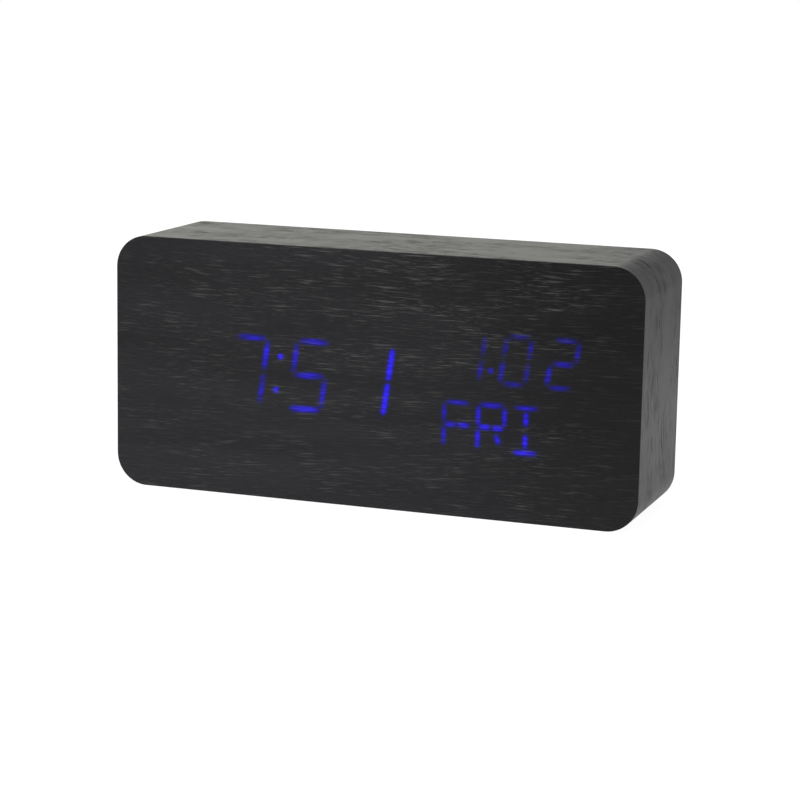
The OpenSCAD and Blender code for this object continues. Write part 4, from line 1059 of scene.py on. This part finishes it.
def cellSleeve(name, look):
    # plain printed film: slate with two pale rings near the cap, and a faint ripple
    finish, tree, shader = newFinish(name, Coat_Weight=look["coat"], Coat_Roughness=look["coatRough"])
    place = attribute(tree, "fromTip")
    clouds = noise(tree, objectSpot(tree), look["clouds"], detail=3)
    rings = []
    for start, end in look["rings"]:
        rise = ramp(tree, place, start, start + look["blur"])
        rings.append(calc(tree, "MULTIPLY", rise, ramp(tree, place, end, end + look["blur"], 1, 0)))
    slate = mixColour(tree, clouds, *look["slate"])
    drive(
        tree, shader, Base_Color=mixColour(tree, calc(tree, "MAXIMUM", *rings), slate, look["print"]),
        Roughness=graded(tree, clouds, *look["rough"]), Normal=bump(tree, clouds, look["ripple"]))
    return finish


sleeveFilm = cellSleeve("sleeveFilm", sleeveLook)


def buildCell(number, size):
    # a profile turned round the cell's axis: cap, top plate, rolled sleeve, and the foot plate
    node = "cell_%d" % (number + 1)
    low, high = nodeBox(node)
    direction = -size["tipTo"][number]
    tip = (low[0] if direction > 0 else high[0], *(low + high)[1:] / 2)
    r, length = (high[2] - low[2]) / 2, high[0] - low[0]
    metalTop = size["cap"] + size["topPlate"]
    straight = size["straight"] + [length - size["straightEnd"]]
    heel, metalFoot = ([(length - d, radius) for d, radius in size[key]] for key in ("heel", "foot"))
    sleeve = size["shoulder"] + [(d, r) for d in straight] + heel
    points, quads, along = turnedProfile(metalTop + sleeve + metalFoot, size["around"], tip, direction)
    row = np.arange(len(quads)) // size["around"]
    first = len(metalTop) - 1
    paint = ((row >= first) & (row < first + len(sleeve))).astype(int)
    makePiece(
        "aaa_" + node, points, quads, [springSteel, sleeveFilm], "clock_case", "cell_sleeve", node,
        {"fromTip": along}, paint=paint)


for number in range(len(cellSize["tipTo"])):
    buildCell(number, cellSize)

springSize = {
    "foot": 25.4,  # mm from the middle of the bay
    "wire": 0.35, "base": 3.4, "tip": 2.2,  # mm, radii
    "turns": 3, "length": 5.5, "clear": 0.03,  # a count, then mm
    "steps": 150, "around": 10, "riseTo": [-1, 1, -1, 1],  # which way along X each spring climbs
}


def buildSprings(size):
    # a conical helix: the radius goes from base to tip as the wire climbs
    u = np.linspace(0, 1, size["steps"])
    angle = 2 * math.pi * size["turns"] * u
    r = size["base"] + (size["tip"] - size["base"]) * u
    rise = size["wire"] + size["clear"] + u * (size["length"] - 2 * (size["wire"] + size["clear"]))
    low, high = nodeBox("contact_springs")
    bayX = (low[0] + high[0]) / 2
    parts = []
    for number, way in enumerate(size["riseTo"]):
        _, y, z = sum(nodeBox("cell_%d" % (number + 1))) / 2
        x = bayX - way * (size["foot"] - rise)
        path = np.stack([x, y + r * np.sin(angle), z - way * r * np.cos(angle)], 1)
        parts.append(tubeAlong(path, size["wire"], size["around"], (1.0, 0, 0)))
    makePiece("cell_springs", *joined(parts), [springSteel], "clock_case", "nickel", "contact_springs")


buildSprings(springSize)

leadSize = {
    "r": 0.6, "bend": 2.0, "around": 16,  # mm
    "red": (0.42, 0.02, 0.015), "black": (0.012, 0.012, 0.013), "rough": 0.42,
}


def roundedRoute(corners, bend, arc=10):
    # straight runs with a quarter turn of radius bend at each inner corner
    corners = np.asarray(corners, float)
    points = [corners[:1]]
    angle = quarterTurn(arc)[:, None]
    for before, corner, after in zip(corners[:-2], corners[1:-1], corners[2:]):
        a, b = unit(before - corner), unit(after - corner)
        points.append(corner + bend * (a * (1 - np.sin(angle)) + b * (1 - np.cos(angle))))
    points.append(corners[-1:])
    return np.concatenate(points)


def buildLead(which, size):
    # a round wire from its tag, under the control board and up to it
    node = "battery_lead_" + which
    low, high = nodeBox(node)
    tag = nodeBox("contact_plates")[0][1]
    z = (low[2] + high[2]) / 2
    x0, x1, y1 = high[0] - size["r"], low[0] + size["r"], low[1] + size["r"]
    path = roundedRoute([(x0, tag, z), (x0, y1, z), (x1, y1, z), (x1, high[1], z)], size["bend"])
    finish = mouldedPlastic(which + "Wire", size[which], size["rough"])
    wire = tubeAlong(path, size["r"], size["around"], (0, 0, 1.0))
    makePiece(which + "_wire", *wire, [finish], "clock_case", which + "_insulation", node)


for which in ("red", "black"):
    buildLead(which, leadSize)

ribbonSize = {
    "wires": 10, "wireSteps": 8, "thick": 0.9, "thin": 0.45, "bend": 3.0, "arc": 14,  # mm
    "rough": 0.45, "clouds": 500.0, "skin": 0.01, "grey": ((0.20, 0.205, 0.21, 1), (0.28, 0.285, 0.29, 1)),
    "mark": (0.35, 0.03, 0.03, 1),  # of the first wire
}


def ribbonPlastic(name, size):
    # grey film with its first wire marked
    finish, tree, shader = newFinish(name, Roughness=size["rough"])
    clouds = noise(tree, objectSpot(tree), size["clouds"])
    first = calc(tree, "LESS_THAN", attribute(tree, "across"), 1 / size["wires"])
    paint = mixColour(tree, first, mixColour(tree, clouds, *size["grey"]), size["mark"])
    drive(tree, shader, Base_Color=paint, Normal=bump(tree, clouds, size["skin"]))
    return finish


def buildRibbon(size):
    # wires side by side: a section of shallow ridges, |sin| along its width, carried along the route
    low, high = nodeBox("ribbon_cable")
    half, middle = size["thick"] / 2, (low[1] + high[1]) / 2
    z0, z1 = low[2] + half, high[2] - half
    route = [(low[1], z0), (middle, z0), (middle, z1), (high[1], z1)]
    path = roundedRoute(route, size["bend"], size["arc"])
    tangent = unit(np.gradient(path, axis=0))
    normal = np.stack([-tangent[:, 1], tangent[:, 0]], 1)
    u = np.linspace(0, 1, size["wires"] * size["wireSteps"] + 1)
    ridge = (size["thin"] + (size["thick"] - size["thin"]) * np.abs(np.sin(math.pi * size["wires"] * u))) / 2
    across = np.concatenate([u, u[::-1]])
    out = np.concatenate([ridge, -ridge[::-1]])
    x = low[0] + (high[0] - low[0]) * across
    flat = path[:, None] + normal[:, None] * out[None, :, None]
    n, m = flat.shape[:2]
    points = np.stack([np.repeat(x[None], n, 0), flat[:, :, 0], flat[:, :, 1]], 2).reshape(-1, 3)
    fields = {"across": np.repeat(across[None], n, 0).ravel()}
    finish = ribbonPlastic("ribbonGrey", size)
    makePiece(
        "ribbon", points, gridQuads(n, m, loopColumns=True), [finish], "clock_case", "ribbon_plastic",
        "ribbon_cable", fields, extra=endCaps(n, m))


buildRibbon(ribbonSize)
print("stage: cells, springs and wires")

bpy.context.view_layer.update()
